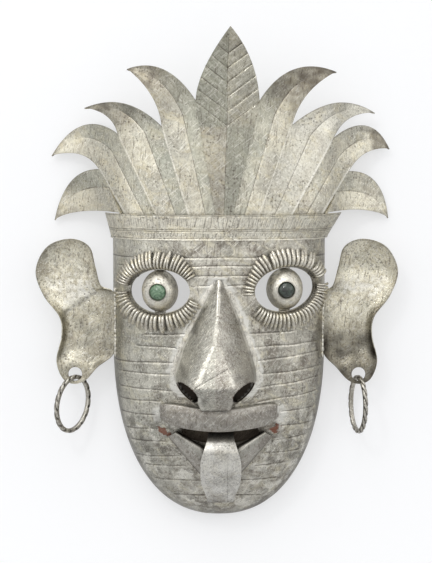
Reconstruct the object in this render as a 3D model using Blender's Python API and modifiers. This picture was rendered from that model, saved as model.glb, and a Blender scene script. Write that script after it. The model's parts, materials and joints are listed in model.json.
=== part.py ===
"""Folk wall mask of soldered sheet metal, in metres, +Z up, the face looking along -Y, the wall at y = 0.

Every soldered piece takes its seat from the surface that carries it (face_y, band_point, crown_y) and from
SOLDER_GAP. The two earrings hang loose in the lobe holes and swing about the wire at the hole.
"""

import math

import bmesh
import bpy
from mathutils import Matrix, Vector

# Sheet and clearances
SHEET = 0.0010
SOLDER_GAP = 0.0004
BLADE_GAP = 0.0009
RING_CLEARANCE = 0.0004

# Face plate: straight sides above the cheek line, rounded jaw below it
FACE_HALF_WIDTH = 0.0870
FACE_DEPTH = 0.0600
FACE_TOP_Z = 0.0160
CHEEK_Z = -0.0764
CHIN_Z = -0.2220
JAW_POWER = 2.27
SECTION_POWER = 2.5

# Headband: a strip that flares upward
BAND_BOTTOM_Z = 0.0088
BAND_HEIGHT = 0.0200
BAND_FLARE = 0.0085
BAND_TILT = 0.0015
BAND_END_ANGLE = 8.0

# Crown: one leaf and four overlapping feather blades a side, rooted behind the headband
CROWN_AXIS_X = 0.0035
CROWN_FLARE = 0.10
ROOT_DEPTH = 0.0113
ROOT_PITCH = 0.0235
ROOT_END = 0.0810
LEAF_ROOT_HALF = 0.0030
BLADE_OVERLAP = 0.0024
BLADE_LIFT = 0.0008
CREASE_DEPTH = 0.0016
# Height of the leaf's tip; the outlines of the crown are shares of it
CROWN_REACH = 0.1754
LEAF_TIP = (0.0502, 1.0000)
LEAF_SWELLS = {-1: (-0.0690, 0.8056), 1: (0.1454, 0.8404)}
LEAF_NOTCHES = {-1: (-0.0975, 0.6522), 1: (0.1745, 0.6499)}
# Each blade outward from the leaf: tip, swell of the upper edge, swell of the lower edge, notch below it
BLADES = {
    -1: (
        ((-0.4111, 0.8158), (-0.2395, 0.8062), (-0.2982, 0.6881), (-0.2480, 0.5422)),
        ((-0.6186, 0.6477), (-0.4213, 0.6591), (-0.5057, 0.6026), (-0.4475, 0.5103)),
        ((-0.7799, 0.4287), (-0.6220, 0.5684), (-0.6431, 0.4333), (-0.5445, 0.3643)),
        ((-0.7702, 0.1288), (-0.6836, 0.3147), (-0.6442, 0.1693), None),
    ),
    1: (
        ((0.5279, 0.8056), (0.3233, 0.8067), (0.3917, 0.6978), (0.3158, 0.5490)),
        ((0.7206, 0.6260), (0.5228, 0.6642), (0.5895, 0.5924), (0.5040, 0.4863)),
        ((0.7936, 0.4607), (0.6716, 0.5667), (0.6807, 0.4401), (0.5906, 0.3552)),
        ((0.7930, 0.1385), (0.7263, 0.3101), (0.6727, 0.1767), None),
    ),
}

# Eyes: elliptical openings, domed eyeballs on strips behind them, glass beads
EYES = {"left": (-0.0468, -0.0318, 1.0), "right": (0.0520, -0.0303, 9.0)}
EYE_HALF_WIDTH = 0.0238
EYE_HALF_HEIGHT = 0.0172
BALL_RADIUS = 0.0146
BALL_PROUD = 0.0095
BALL_STRETCH = 1.14
BALL_TURN = {"left": -7.0, "right": 5.0}
BEAD_RADIUS = 0.0078
BEAD_HOLE_RADIUS = 0.0068
STRIP_WIDTH = 0.0090
STRIP_LAP = 0.0070

# Eyelash fringes: a collar round the opening cut into curled teeth
LASH_TEETH = 26
LASH_SHEET = 0.0007
LASH_COLLAR = 0.0022
LASH_RISE = 0.0062
LASH_REACH = 0.0150
LASH_INNER_REACH = {"upper": 0.0095, "lower": 0.0112}
# Where each fringe runs round its opening, in degrees up from the outer corner
LASH_ARCS = {
    ("left", "upper"): (14.0, 152.0),
    ("left", "lower"): (-2.0, -163.0),
    ("right", "upper"): (14.0, 178.0),
    ("right", "lower"): (-3.0, -150.0),
}
LASH_TOOTH_SHARE = 0.72

# Nose: apex at the brow, wings, flat tip, flap down to the lip
NOSE_APEX_Z = -0.0225
NOSE_WING_Z = -0.0980
NOSE_TIP_Z = -0.1040
NOSE_BOTTOM_Z = -0.1225
NOSE_HALF_WIDTH = 0.0313
NOSE_SIDE_POWER = 1.25
NOSE_HEIGHT = 0.0360
NOSE_BASE_X = -0.0028
NOSE_FACET_TOP_Z = -0.0690
FLAP_HALF_WIDTH = 0.0112
TIP_HALF_WIDTH = 0.0160
FLAP_HEIGHT = 0.0170
NOSTRIL_CENTRE = (0.0226, -0.1098)
NOSTRIL_HALF_LENGTH = 0.0102
NOSTRIL_HALF_WIDTH = 0.0066
NOSTRIL_SLANT = 42.0

# Mouth: opening, box-shaped upper lip, two slanted lower lips, tongue
MOUTH_X = 0.0010
MOUTH_DROP = 0.0215
MOUTH_Z = NOSE_BOTTOM_Z - MOUTH_DROP
MOUTH_HALF_WIDTH = 0.0310
MOUTH_HALF_HEIGHT = 0.0100
UPPER_LIP_HALF = 0.0480
UPPER_LIP_HEIGHT = 0.0130
UPPER_LIP_RISE = 0.0095
UPPER_LIP_SLOPE = 0.0045
UPPER_LIP_BOW = 0.0065
LOWER_LIP_RISE = 0.0055
# Corners of a lower lip, outward and up from the mouth's middle: mouth corner, cheek side, then the two under the tongue
LOWER_LIP_CORNERS = ((0.0345, 0.0008), (0.0420, -0.0042), (0.0085, -0.0145), (0.0120, -0.0410))
TONGUE_X = 0.0014
TONGUE_HALF_WIDTH = 0.0163
TONGUE_END_HALF_WIDTH = 0.0108
TONGUE_ROOT_HALF_WIDTH = 0.0095
TONGUE_RISE = 0.0025
TONGUE_LENGTH = 0.0645
TONGUE_BULGE = 0.0105
TONGUE_SEAT = 0.0085
CUP_LAP = 0.0050

# Ears: dished sheets with a lobe hole
EAR_Y = -0.0220
EAR_TOP_JOIN_Z = -0.0370
EAR_LOW_JOIN_Z = -0.0840
EAR_DISH = 0.0075
EAR_OUTWARD = {"left": 0.0, "right": -0.0035}
# Height of an ear; its outline, spine and lobe hole are shares of it, outward from the face and down from the top
EAR_HEIGHT = 0.1182
EAR_TOP_Z = 0.0075
EAR_OUTLINE = (
    (0.0931, -0.3215),
    (0.1320, -0.1904),
    (0.1734, -0.0508),
    (0.3003, 0.0000),
    (0.4569, -0.0550),
    (0.5347, -0.2157),
    (0.4822, -0.3849),
    (0.3723, -0.5330),
    (0.3587, -0.6684),
    (0.3976, -0.8376),
    (0.3596, -0.9602),
    (0.2834, -1.0000),
    (0.1988, -0.9729),
    (0.1184, -0.8799),
)
EAR_SPINE = ((0.3257, -0.2157), (0.2792, -0.8629))
LOBE_HOLE = (0.2724, -0.9315)
LOBE_HOLE_RADIUS = 0.0056

# Earrings: oval loops of wire
RING_WIRE = 0.0040
RING_HALF_HEIGHT = 0.0222
RING_HALF_WIDTH = 0.0152
RING_TURN = {"left": 50.0, "right": 18.0}
RING_LEAN = {"left": -14.0, "right": 0.0}

# Hanging strap across the open back, with a lug for a nail
STRAP_SHEET = 0.0015
STRAP_HEIGHT = 0.0160
LUG_HEIGHT = 0.0160
LUG_HALF_WIDTH = 0.0090
NAIL_HOLE_RADIUS = 0.0030

SIDES = {"left": -1.0, "right": 1.0}
BAND_TOP_Z = BAND_BOTTOM_Z + BAND_HEIGHT
TONGUE_TOP_Z = MOUTH_Z + TONGUE_RISE
FIT = 1.3 * SOLDER_GAP


def crown_spot(share):
    """A place in the crown's outline, across and upward."""
    return None if share is None else Vector(share) * CROWN_REACH


def ear_spot(share, shift):
    """A place in an ear's outline, outward and upward."""
    return Vector((share[0] * EAR_HEIGHT + shift, share[1] * EAR_HEIGHT + EAR_TOP_Z))


# Surfaces that carry the pieces

def jaw(z):
    """Share of the way from the cheek line down to the chin."""
    return max(0.0, (CHEEK_Z - z) / (CHEEK_Z - CHIN_Z))


def face_half_width(z):
    return FACE_HALF_WIDTH * max(0.0, 1.0 - jaw(z) ** JAW_POWER) ** (1.0 / JAW_POWER)


def face_y(x, z):
    """Depth of the outer face surface."""
    gauge = (abs(x) / FACE_HALF_WIDTH) ** JAW_POWER + jaw(z) ** JAW_POWER
    rho = gauge ** (1.0 / JAW_POWER)
    return -FACE_DEPTH * max(0.0, 1.0 - rho ** SECTION_POWER) ** (1.0 / SECTION_POWER)


def face_x_at(y, z):
    """Half-width of the outer face surface at one depth and height."""
    rho = (1.0 - (abs(y) / FACE_DEPTH) ** SECTION_POWER) ** (1.0 / SECTION_POWER)
    return FACE_HALF_WIDTH * (rho ** JAW_POWER - jaw(z) ** JAW_POWER) ** (1.0 / JAW_POWER)


def slope_of(surface, x, z):
    """Slopes of a depth function across and upward."""
    h = 0.0004
    across = (surface(x + h, z) - surface(x - h, z)) / (2 * h)
    upward = (surface(x, z + h) - surface(x, z - h)) / (2 * h)
    return across, upward


def stretch(surface, x, z):
    """Depth per unit of thickness measured square to the surface."""
    across, upward = slope_of(surface, x, z)
    return math.sqrt(1.0 + across * across + upward * upward)


def face_normal(x, z):
    across, upward = slope_of(face_y, x, z)
    return Vector((across, -1.0, upward)).normalized()


def oval(share):
    """Depth share of the face's section at a share of its half-width."""
    return max(0.0, 1.0 - abs(share) ** SECTION_POWER) ** (1.0 / SECTION_POWER)


def band_sizes(z):
    """Inner half-width, inner depth and sideways shift of the headband at one height."""
    up = (z - BAND_BOTTOM_Z) / BAND_HEIGHT
    return FACE_HALF_WIDTH + FIT + BAND_FLARE * up, FACE_DEPTH + FIT + BAND_TILT * up, CROWN_AXIS_X * up


def crown_y(x, z):
    """Depth of the front of the blades: inside the headband, and easing flat beyond its ends."""
    half, depth, shift = band_sizes(min(z, BAND_TOP_Z))
    rise = max(0.0, z - BAND_TOP_Z)
    half += CROWN_FLARE * rise - FIT
    depth -= FIT
    share = abs(x - shift) / half
    turn = 0.90
    if share <= turn:
        return -depth * oval(share)
    edge = depth * oval(turn)
    steep = depth / half * (turn / oval(turn)) ** (SECTION_POWER - 1.0)
    return -edge * math.exp(-(share - turn) * half * steep / edge)


# Mesh building

def collection(name):
    group = bpy.data.collections.new(name)
    bpy.context.scene.collection.children.link(group)
    return group


def material(name, colour, roughness, metallic):
    mat = bpy.data.materials.new(name)
    mat.use_nodes = True
    shader = mat.node_tree.nodes["Principled BSDF"]
    shader.inputs["Base Color"].default_value = (*colour, 1.0)
    shader.inputs["Roughness"].default_value = roughness
    shader.inputs["Metallic"].default_value = metallic
    return mat


def finish(bm, name, group, look=None, origin=None):
    """Turn a bmesh into a named object, its vertices measured from its own origin."""
    if origin is not None:
        bmesh.ops.translate(bm, verts=bm.verts, vec=-Vector(origin))
    mesh = bpy.data.meshes.new(name)
    bm.to_mesh(mesh)
    bm.free()
    obj = bpy.data.objects.new(name, mesh)
    group.objects.link(obj)
    if origin is not None:
        obj.location = origin
    if look is not None:
        colour, roughness, metallic = look
        mesh.materials.append(material(name + "_metal", colour, roughness, metallic))
    return obj


def grid(columns, rows, place):
    """A grid of faces, each vertex placed by its shares across and upward, facing the viewer."""
    bm = bmesh.new()
    bmesh.ops.create_grid(bm, x_segments=columns, y_segments=rows, size=1.0)
    for vert in bm.verts:
        vert.co = place((vert.co.x + 1.0) / 2.0, (vert.co.y + 1.0) / 2.0)
    bmesh.ops.remove_doubles(bm, verts=bm.verts, dist=0.00001)
    bm.normal_update()
    if sum(face.normal.y * face.calc_area() for face in bm.faces) > 0.0:
        bmesh.ops.reverse_faces(bm, faces=bm.faces)
    return bm


def outward_faces(bm):
    """Make the faces of a closed solid point outward."""
    bmesh.ops.recalc_face_normals(bm, faces=bm.faces)
    if bm.calc_volume(signed=True) < 0.0:
        bmesh.ops.reverse_faces(bm, faces=bm.faces)
    return bm


def thicken(bm, back):
    """Close a front surface into a solid; back gives the place behind each front vertex."""
    front = list(bm.faces)
    behind = {vert: Vector(back(vert.co)) for vert in bm.verts}
    made = bmesh.ops.extrude_face_region(bm, geom=front, use_keep_orig=True)
    bm.normal_update()
    copies = [item for item in made["geom"] if isinstance(item, bmesh.types.BMVert)]
    places = {tuple(round(c, 7) for c in vert.co): spot for vert, spot in behind.items()}
    for vert in copies:
        vert.co = places[tuple(round(c, 7) for c in vert.co)]
    return outward_faces(bm)


def sheet_modifier(obj, thickness, outward, even=True):
    solid = obj.modifiers.new("sheet", "SOLIDIFY")
    solid.thickness = thickness
    solid.offset = 1.0 if outward else -1.0
    solid.use_even_offset = even


def cut(obj, cutter):
    boolean = obj.modifiers.new("cut_" + cutter.name, "BOOLEAN")
    boolean.operation = "DIFFERENCE"
    boolean.solver = "EXACT"
    boolean.object = cutter


def prism_cutter(name, group, outline, front, back):
    """A cutter that runs from one depth to another along Y through a closed outline in X and Z."""
    bm = bmesh.new()
    ring = [bm.verts.new((x, front, z)) for x, z in outline]
    bmesh.ops.extrude_face_region(bm, geom=[bm.faces.new(ring)], use_keep_orig=True)
    for vert in bm.verts:
        if vert not in ring:
            vert.co.y = back
    bmesh.ops.recalc_face_normals(bm, faces=bm.faces)
    obj = finish(bm, name, group)
    obj.hide_render = True
    obj.display_type = "WIRE"
    return obj


def ellipse(cx, cz, half_x, half_z, slant=0.0, count=28):
    """Points of a slanted ellipse."""
    lean = math.radians(slant)
    points = []
    for i in range(count):
        angle = 2.0 * math.pi * i / count
        a = half_x * math.cos(angle)
        b = half_z * math.sin(angle)
        points.append((cx + a * math.cos(lean) - b * math.sin(lean), cz + a * math.sin(lean) + b * math.cos(lean)))
    return points


def smooth(t):
    t = min(1.0, max(0.0, t))
    return t * t * (3.0 - 2.0 * t)


def through(start, mid, end, t):
    """Point on the parabola that passes through the middle point half-way."""
    a, m, b = Vector(start), Vector(mid), Vector(end)
    handle = 2.0 * m - (a + b) / 2.0
    return (1 - t) ** 2 * a + 2 * t * (1 - t) * handle + t * t * b


# Finishes of the CAD pieces: colour, roughness, metallic
SILVERED = ((0.62, 0.60, 0.52), 0.42, 1.0)
DULL = ((0.50, 0.49, 0.43), 0.50, 1.0)
DARK_WIRE = ((0.42, 0.41, 0.36), 0.40, 1.0)
GREEN_GLASS = ((0.02, 0.16, 0.05), 0.12, 0.0)


# Pieces

def build_face(parts, cutters):
    jaw_share = 0.66

    def place(across, up):
        if up < jaw_share:
            z = CHEEK_Z - (CHEEK_Z - CHIN_Z) * math.cos(0.5 * math.pi * up / jaw_share)
        else:
            z = CHEEK_Z + (FACE_TOP_Z - CHEEK_Z) * (up - jaw_share) / (1.0 - jaw_share)
        turn = math.cos(math.pi * (1.0 - across))
        x = face_half_width(z) * math.copysign(abs(turn) ** (2.0 / SECTION_POWER), turn)
        return Vector((x, face_y(x, z), z))

    face = finish(grid(24, 22, place), "face_plate", parts, SILVERED)
    sheet_modifier(face, SHEET, outward=False)
    for side, (x, z, slant) in EYES.items():
        outline = ellipse(x, z, EYE_HALF_WIDTH, EYE_HALF_HEIGHT, slant)
        cut(face, prism_cutter("eye_cutter_" + side, cutters, outline, -2.0 * FACE_DEPTH, -0.2 * FACE_DEPTH))
    mouth = ellipse(MOUTH_X, MOUTH_Z, MOUTH_HALF_WIDTH, MOUTH_HALF_HEIGHT)
    cut(face, prism_cutter("mouth_cutter", cutters, mouth, -2.0 * FACE_DEPTH, -0.2 * FACE_DEPTH))


def band_point(turn, z):
    """Inner surface of the headband at a turn from the viewer's left (0) to right (1)."""
    half, depth, shift = band_sizes(z)
    angle = math.radians(BAND_END_ANGLE + (180.0 - 2.0 * BAND_END_ANGLE) * (1.0 - turn))
    c, s = math.cos(angle), math.sin(angle)
    x = shift + half * math.copysign(abs(c) ** (2.0 / SECTION_POWER), c)
    return Vector((x, -depth * s ** (2.0 / SECTION_POWER), z))


def build_headband(parts):
    bm = grid(24, 2, lambda across, up: band_point(across, BAND_BOTTOM_Z + BAND_HEIGHT * up))
    sheet_modifier(finish(bm, "headband", parts, SILVERED), SHEET, outward=True)


def build_blade(name, parts, inner, outer, tip, layer, crease):
    """A leaf or feather blade between two edges that meet at the tip.

    inner and outer are (root x, notch, swell); layer gives how far forward of its neighbour the blade lies,
    0 to 1, at a share across it.
    """
    root_z = BAND_TOP_Z - ROOT_DEPTH
    free = 0.36

    def edge(side, up):
        root_x, notch, swell = side
        if up <= free:
            return Vector((root_x, root_z)).lerp(Vector(notch), up / free)
        return through(notch, swell, tip, (up - free) / (1.0 - free))

    def place(across, up):
        x, z = edge(inner, up).lerp(edge(outer, up), across)
        depth = (1.0 - layer(across)) * (SHEET + BLADE_GAP) * stretch(crown_y, x, z)
        fold = crease * (1.0 - abs(2.0 * across - 1.0)) * smooth(6.0 * (1.0 - up)) * smooth(3.0 * up - 0.3)
        return Vector((x, crown_y(x, z) + depth + fold, z))

    def back(co):
        return co.x, co.y + SHEET * stretch(crown_y, co.x, co.z), co.z

    finish(thicken(grid(4, 11, place), back), name, parts, SILVERED)


def build_crown(parts):
    lap = BLADE_OVERLAP / 2.0
    axis = CROWN_AXIS_X

    def leaf_side(side):
        notch = crown_spot(LEAF_NOTCHES[side])
        swell = crown_spot(LEAF_SWELLS[side])
        return axis + side * (LEAF_ROOT_HALF + lap), (notch[0] + side * lap, notch[1]), swell

    build_blade("crown_leaf", parts, leaf_side(-1), leaf_side(1), crown_spot(LEAF_TIP), lambda across: 1.0, CREASE_DEPTH)
    for word, sign in (("left", -1), ("right", 1)):
        root = axis + sign * LEAF_ROOT_HALF
        notch = crown_spot(LEAF_NOTCHES[sign])
        for number, shares in enumerate(BLADES[sign], 1):
            tip, upper, lower, below = (crown_spot(share) for share in shares)
            inner = (root - sign * lap, (notch[0] - sign * lap, notch[1]), upper)
            if below is None:
                root = axis + sign * ROOT_END
                outer = (root, (root, BAND_TOP_Z + BLADE_LIFT), lower)
            else:
                root = axis + sign * number * ROOT_PITCH
                notch = below
                outer = (root + sign * lap, (notch[0] + sign * lap, notch[1]), lower)
            build_blade(
                f"feather_{word}_{number}", parts, inner, outer, tip,
                lambda across: min(1.0, max(0.0, (across - 0.2) / 0.6)), CREASE_DEPTH,
            )


def nose_axis(z):
    return NOSE_BASE_X * smooth((NOSE_APEX_Z - z) / (NOSE_APEX_Z - NOSE_WING_Z))


def nose_half_width(z):
    down = (NOSE_APEX_Z + 0.0012 - z) / (NOSE_APEX_Z - NOSE_WING_Z)
    if down <= 1.0:
        return NOSE_HALF_WIDTH * (1.0 - (1.0 - max(0.0, down)) ** NOSE_SIDE_POWER)
    under = max(0.0, NOSE_WING_Z - z) / (NOSE_WING_Z - NOSE_BOTTOM_Z)
    return NOSE_HALF_WIDTH + (FLAP_HALF_WIDTH + 0.0010 - NOSE_HALF_WIDTH) * under ** 2.2


def nose_height(share, z):
    """Height of the inside of the nose sheet off the face at a share of its half-width."""
    down = (NOSE_APEX_Z - z) / (NOSE_APEX_Z - NOSE_TIP_Z)
    facet = TIP_HALF_WIDTH * max(0.0, (NOSE_FACET_TOP_Z - z) / (NOSE_FACET_TOP_Z - NOSE_TIP_Z))
    flap = NOSE_HEIGHT * down
    wing = flap
    if z < NOSE_TIP_Z:
        under = (NOSE_TIP_Z - z) / (NOSE_TIP_Z - NOSE_BOTTOM_Z)
        flap = NOSE_HEIGHT + (FLAP_HEIGHT - NOSE_HEIGHT) * under
        wing = NOSE_HEIGHT * (1.0 - under ** 1.5)
        facet = TIP_HALF_WIDTH + (FLAP_HALF_WIDTH - TIP_HALF_WIDTH) * under
    flat = min(0.94, facet / max(nose_half_width(z), 0.001))
    out = max(0.0, abs(share) - flat) / (1.0 - flat)
    swell = 1.15 + 0.85 * smooth(down)
    if out <= 0.0:
        return flap
    return flap * max(0.0, 1.0 - 8.0 * out) + wing * min(1.0, 8.0 * out) * (1.0 - out ** swell)


def build_nose(parts, cutters):
    levels = [0.0, 0.06, 0.15, 0.26, 0.37, 0.465, 0.56, 0.66, 0.75, 0.815, 0.855, 0.89, 0.93, 0.965, 1.0]
    stations = [0.0, 0.15, 0.30, 0.44, 0.58, 0.72, 0.87, 1.0]

    def place(across, up):
        level = levels[round((1.0 - up) * (len(levels) - 1))]
        z = NOSE_APEX_Z + (NOSE_BOTTOM_Z - NOSE_APEX_Z) * level
        index = round(across * 2 * (len(stations) - 1)) - (len(stations) - 1)
        share = math.copysign(stations[abs(index)], index)
        x = nose_axis(z) + share * nose_half_width(z)
        return Vector((x, face_y(x, z) - FIT - nose_height(share, z), z))

    bm = grid(2 * (len(stations) - 1), len(levels) - 1, place)
    nose = finish(bm, "nose", parts, SILVERED)
    sheet_modifier(nose, SHEET, outward=True, even=False)
    for side, sign in SIDES.items():
        x, z = NOSTRIL_CENTRE
        outline = ellipse(
            NOSE_BASE_X + sign * x, z, NOSTRIL_HALF_LENGTH, NOSTRIL_HALF_WIDTH, sign * NOSTRIL_SLANT, 20
        )
        front = -FACE_DEPTH - 2.0 * NOSE_HEIGHT
        cut(nose, prism_cutter("nostril_cutter_" + side, cutters, outline, front, -FACE_DEPTH - FIT))


def build_upper_lip(parts):
    """A box-shaped bar with a bowed front and sloping edges, its back on the face."""
    def place(across, up):
        run = 2.0 * across - 1.0
        x = MOUTH_X - 0.0012 + UPPER_LIP_HALF * run
        end = (1.0 - 0.75 * abs(run) ** 9)
        middle = 1.0 - abs(run) ** 1.7
        top = NOSE_BOTTOM_Z - SHEET - 3.0 * SOLDER_GAP - UPPER_LIP_SLOPE + UPPER_LIP_BOW * (1.0 - middle)
        low = top - UPPER_LIP_HEIGHT - 0.0040 * (1.0 - middle)
        low, top = (top + low) / 2 - (top - low) / 2 * end, (top + low) / 2 + (top - low) / 2 * end
        levels = (
            (low - 0.0008, 0.12),
            (low, 0.92),
            ((2 * low + top) / 3, 1.0),
            ((low + 2 * top) / 3, 1.0),
            (top, 0.92),
            (top + UPPER_LIP_SLOPE, 0.12),
        )
        z, share = levels[round(up * 5)]
        share *= 1.0 - 0.5 * abs(run) ** 9
        return Vector((x, face_y(x, z) - FIT - UPPER_LIP_RISE * share, z))

    bm = thicken(grid(18, 5, place), lambda co: (co.x, face_y(co.x, co.z) - FIT, co.z))
    finish(bm, "upper_lip", parts, SILVERED)


def build_lower_lips(parts):
    """Two flat-topped slabs, in a V below the mouth."""
    for side, sign in SIDES.items():
        mouth, cheek, inner, chin = (Vector(corner) for corner in LOWER_LIP_CORNERS)

        def place(across, up, sign=sign):
            spot = cheek.lerp(mouth, up).lerp(chin.lerp(inner, up), across)
            x, z = MOUTH_X + sign * spot.x, MOUTH_Z + spot.y
            share = 0.25 + 0.75 * (1.0 - abs(2.0 * up - 1.0) ** 3.0)
            return Vector((x, face_y(x, z) - FIT - LOWER_LIP_RISE * share, z))

        bm = thicken(grid(7, 4, place), lambda co: (co.x, face_y(co.x, co.z) - FIT, co.z))
        finish(bm, "lower_lip_" + side, parts, SILVERED)


def build_tongue(parts):
    levels = [0.0, 0.05, 0.10, 0.15, 0.21, 0.28, 0.36, 0.45, 0.55, 0.66, 0.78, 0.90, 1.0]

    def place(across, up):
        down = levels[round((1.0 - up) * (len(levels) - 1))]
        z = TONGUE_TOP_Z - TONGUE_LENGTH * down
        half = TONGUE_ROOT_HALF_WIDTH + (TONGUE_HALF_WIDTH - TONGUE_ROOT_HALF_WIDTH) * smooth(down / 0.45)
        if down > 0.55:
            half += (TONGUE_END_HALF_WIDTH - TONGUE_HALF_WIDTH) * smooth((down - 0.55) / 0.45) ** 1.5
        share = 2.0 * across - 1.0
        x = TONGUE_X + share * half
        lift = TONGUE_BULGE * smooth(down / 0.30) * (1.0 - smooth((down - 0.42) / 0.58) ** 1.2)
        lift -= TONGUE_SEAT * (1.0 - smooth(down / 0.16))
        lift -= 0.0012 * share * share * smooth(down / 0.2) * (1.0 - down)
        return Vector((x, face_y(x, z) - FIT - lift - SHEET, z))

    bm = thicken(grid(6, len(levels) - 1, place), lambda co: (co.x, co.y + SHEET, co.z))
    finish(bm, "tongue", parts, SILVERED)


def build_mouth_cup(parts):
    """A shallow cup soldered behind the mouth opening; the tongue's root stands in it."""
    half_x, half_z = MOUTH_HALF_WIDTH + CUP_LAP, MOUTH_HALF_HEIGHT + CUP_LAP

    def place(across, up):
        x = MOUTH_X + (2.0 * across - 1.0) * half_x
        z = MOUTH_Z + (2.0 * up - 1.0) * half_z
        inward = min(half_x - abs(x - MOUTH_X), half_z - abs(z - MOUTH_Z))
        bow = smooth(1.4 * inward / CUP_LAP - 0.4)
        rim = SHEET * stretch(face_y, x, z) + FIT
        return Vector((x, face_y(x, z) + rim + (TONGUE_SEAT - rim) * bow, z))

    bm = thicken(grid(10, 6, place), lambda co: (co.x, co.y + SHEET, co.z))
    finish(bm, "mouth_cup", parts, DULL)


def ball_centre(side):
    x, z, _ = EYES[side]
    return Vector((x, face_y(x, z) - BALL_PROUD + BALL_RADIUS, z))


def build_eyes(parts):
    shell = 2.0 * SHEET
    for side in SIDES:
        x, z, _ = EYES[side]
        centre = ball_centre(side)
        aim = Matrix.Rotation(math.radians(BALL_TURN[side]), 4, "Z") @ Matrix.Rotation(math.radians(90.0), 4, "X")

        # the eyeball: a dome turned about its own axis and drawn out tall, open at the back, with a hole for the bead
        hole_angle = math.asin(BEAD_HOLE_RADIUS / BALL_RADIUS)
        arc = [hole_angle + (0.5 * math.pi - hole_angle) * i / 6 for i in range(7)]
        outline = [(BALL_RADIUS * math.sin(a), BALL_RADIUS * math.cos(a)) for a in arc]
        inner = BALL_RADIUS - shell / 2.0
        inner_angle = math.asin(BEAD_HOLE_RADIUS / inner)
        arc = [inner_angle + (0.5 * math.pi - inner_angle) * i / 4 for i in range(5)]
        outline += [(inner * math.sin(a), inner * math.cos(a)) for a in reversed(arc)]
        bm = bmesh.new()
        loop = [bm.verts.new((r, 0.0, h)) for r, h in outline]
        for i, vert in enumerate(loop):
            bm.edges.new((vert, loop[(i + 1) % len(loop)]))
        bmesh.ops.spin(
            bm, geom=loop + list(bm.edges), cent=(0.0, 0.0, 0.0), axis=(0.0, 0.0, 1.0), angle=2.0 * math.pi, steps=20, use_merge=True,
        )
        for vert in bm.verts:
            out = math.hypot(vert.co.x, vert.co.y)
            vert.co.y *= 1.0 + (BALL_STRETCH - 1.0) * smooth((out - BEAD_HOLE_RADIUS) / (BALL_RADIUS - BEAD_HOLE_RADIUS))
        ball = finish(outward_faces(bm), "eyeball_" + side, parts, SILVERED)
        ball.matrix_world = Matrix.Translation(centre) @ aim

        # the bead: a glass ball behind the hole, held off its edge by the solder gap
        reach = BEAD_RADIUS + SOLDER_GAP
        back = BALL_RADIUS * math.cos(hole_angle) - SHEET - math.sqrt(reach ** 2 - BEAD_HOLE_RADIUS ** 2)
        bm = bmesh.new()
        bmesh.ops.create_uvsphere(bm, u_segments=16, v_segments=9, radius=BEAD_RADIUS)
        bead = finish(bm, "eye_bead_" + side, parts, GREEN_GLASS)
        bead.matrix_world = Matrix.Translation(centre) @ aim @ Matrix.Translation((0.0, 0.0, back))

        # the strip behind the eye, bowed back so that the eyeball's rim and the bead rest on it
        half = EYE_HALF_HEIGHT + STRIP_LAP
        seat = centre.y + 0.5 * STRIP_WIDTH * math.sin(math.radians(abs(BALL_TURN[side]))) + FIT

        def place(across, up, x=x, z=z, half=half, seat=seat):
            sx = x + (across - 0.5) * STRIP_WIDTH
            sz = z + (2.0 * up - 1.0) * half
            behind = face_y(sx, sz) + SHEET * stretch(face_y, sx, sz) + FIT
            bow = smooth((half - abs(sz - z)) / STRIP_LAP * 1.6 - 0.7)
            return Vector((sx, max(behind, behind + (seat - behind) * bow), sz))

        bm = thicken(grid(2, 14, place), lambda co: (co.x, co.y + SHEET, co.z))
        finish(bm, "eye_strip_" + side, parts, DULL)


def lash_point(side, word, position, run, rise):
    """Place on a fringe: position along its arc, run outward over the face and rise off it."""
    x, z, slant = EYES[side]
    start, end = LASH_ARCS[side, word]
    angle = math.radians(start + (end - start) * position)
    c, s = math.cos(angle), math.sin(angle)
    half_x, half_z = EYE_HALF_WIDTH + FIT, EYE_HALF_HEIGHT + FIT
    turn = Matrix.Rotation(math.radians(slant), 2)
    spot = turn @ Vector((SIDES[side] * half_x * c, half_z * s))
    out = turn @ Vector((SIDES[side] * c / half_x, s / half_z)).normalized()
    inner = smooth((-c - 0.45) / 0.45)
    reach = LASH_REACH + (LASH_INNER_REACH[word] - LASH_REACH) * inner
    x, z = x + spot.x, z + spot.y
    across, upward = slope_of(face_y, x, z)
    along = Vector((out.x, across * out.x + upward * out.y, out.y)).normalized()
    return Vector((x, face_y(x, z), z)) + along * (run * reach) + face_normal(x, z) * (FIT + rise)


def build_lashes(parts):
    """Fringes: a grid whose gaps are removed past the collar, curled over the rim of the opening."""
    profile = ((0.0, 0.0), (0.0, LASH_COLLAR), (0.22, LASH_RISE), (0.62, 0.9 * LASH_RISE), (1.0, 0.35 * LASH_RISE))
    columns = 2 * LASH_TEETH - 1
    rows = len(profile) - 1
    for side, word in LASH_ARCS:
        bm = bmesh.new()
        bmesh.ops.create_grid(bm, x_segments=columns, y_segments=rows, size=1.0)
        gaps = []
        for face in bm.faces:
            middle = (face.calc_center_median() + Vector((1.0, 1.0, 0.0))) / 2.0
            if int(middle.x * columns) % 2 == 1 and int(middle.y * rows) >= 1:
                gaps.append(face)
        bmesh.ops.delete(bm, geom=gaps, context="FACES")
        for vert in bm.verts:
            tooth, after = divmod(round((vert.co.x + 1.0) / 2.0 * columns), 2)
            position = (tooth + after * LASH_TOOTH_SHARE) / (LASH_TEETH - 1 + LASH_TOOTH_SHARE)
            run, rise = profile[round((vert.co.y + 1.0) / 2.0 * rows)]
            vert.co = lash_point(side, word, position, run, rise)
        bm.normal_update()
        if sum(face.normal.y * face.calc_area() for face in bm.faces) > 0.0:
            bmesh.ops.reverse_faces(bm, faces=bm.faces)
        sheet_modifier(finish(bm, f"{word}_lash_{side}", parts, SILVERED), LASH_SHEET, outward=True)


def ear_base():
    """How far out the ear's joint with the face lies."""
    return face_x_at(EAR_Y + 2.0 * SHEET, EAR_TOP_JOIN_Z) + FIT


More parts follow.
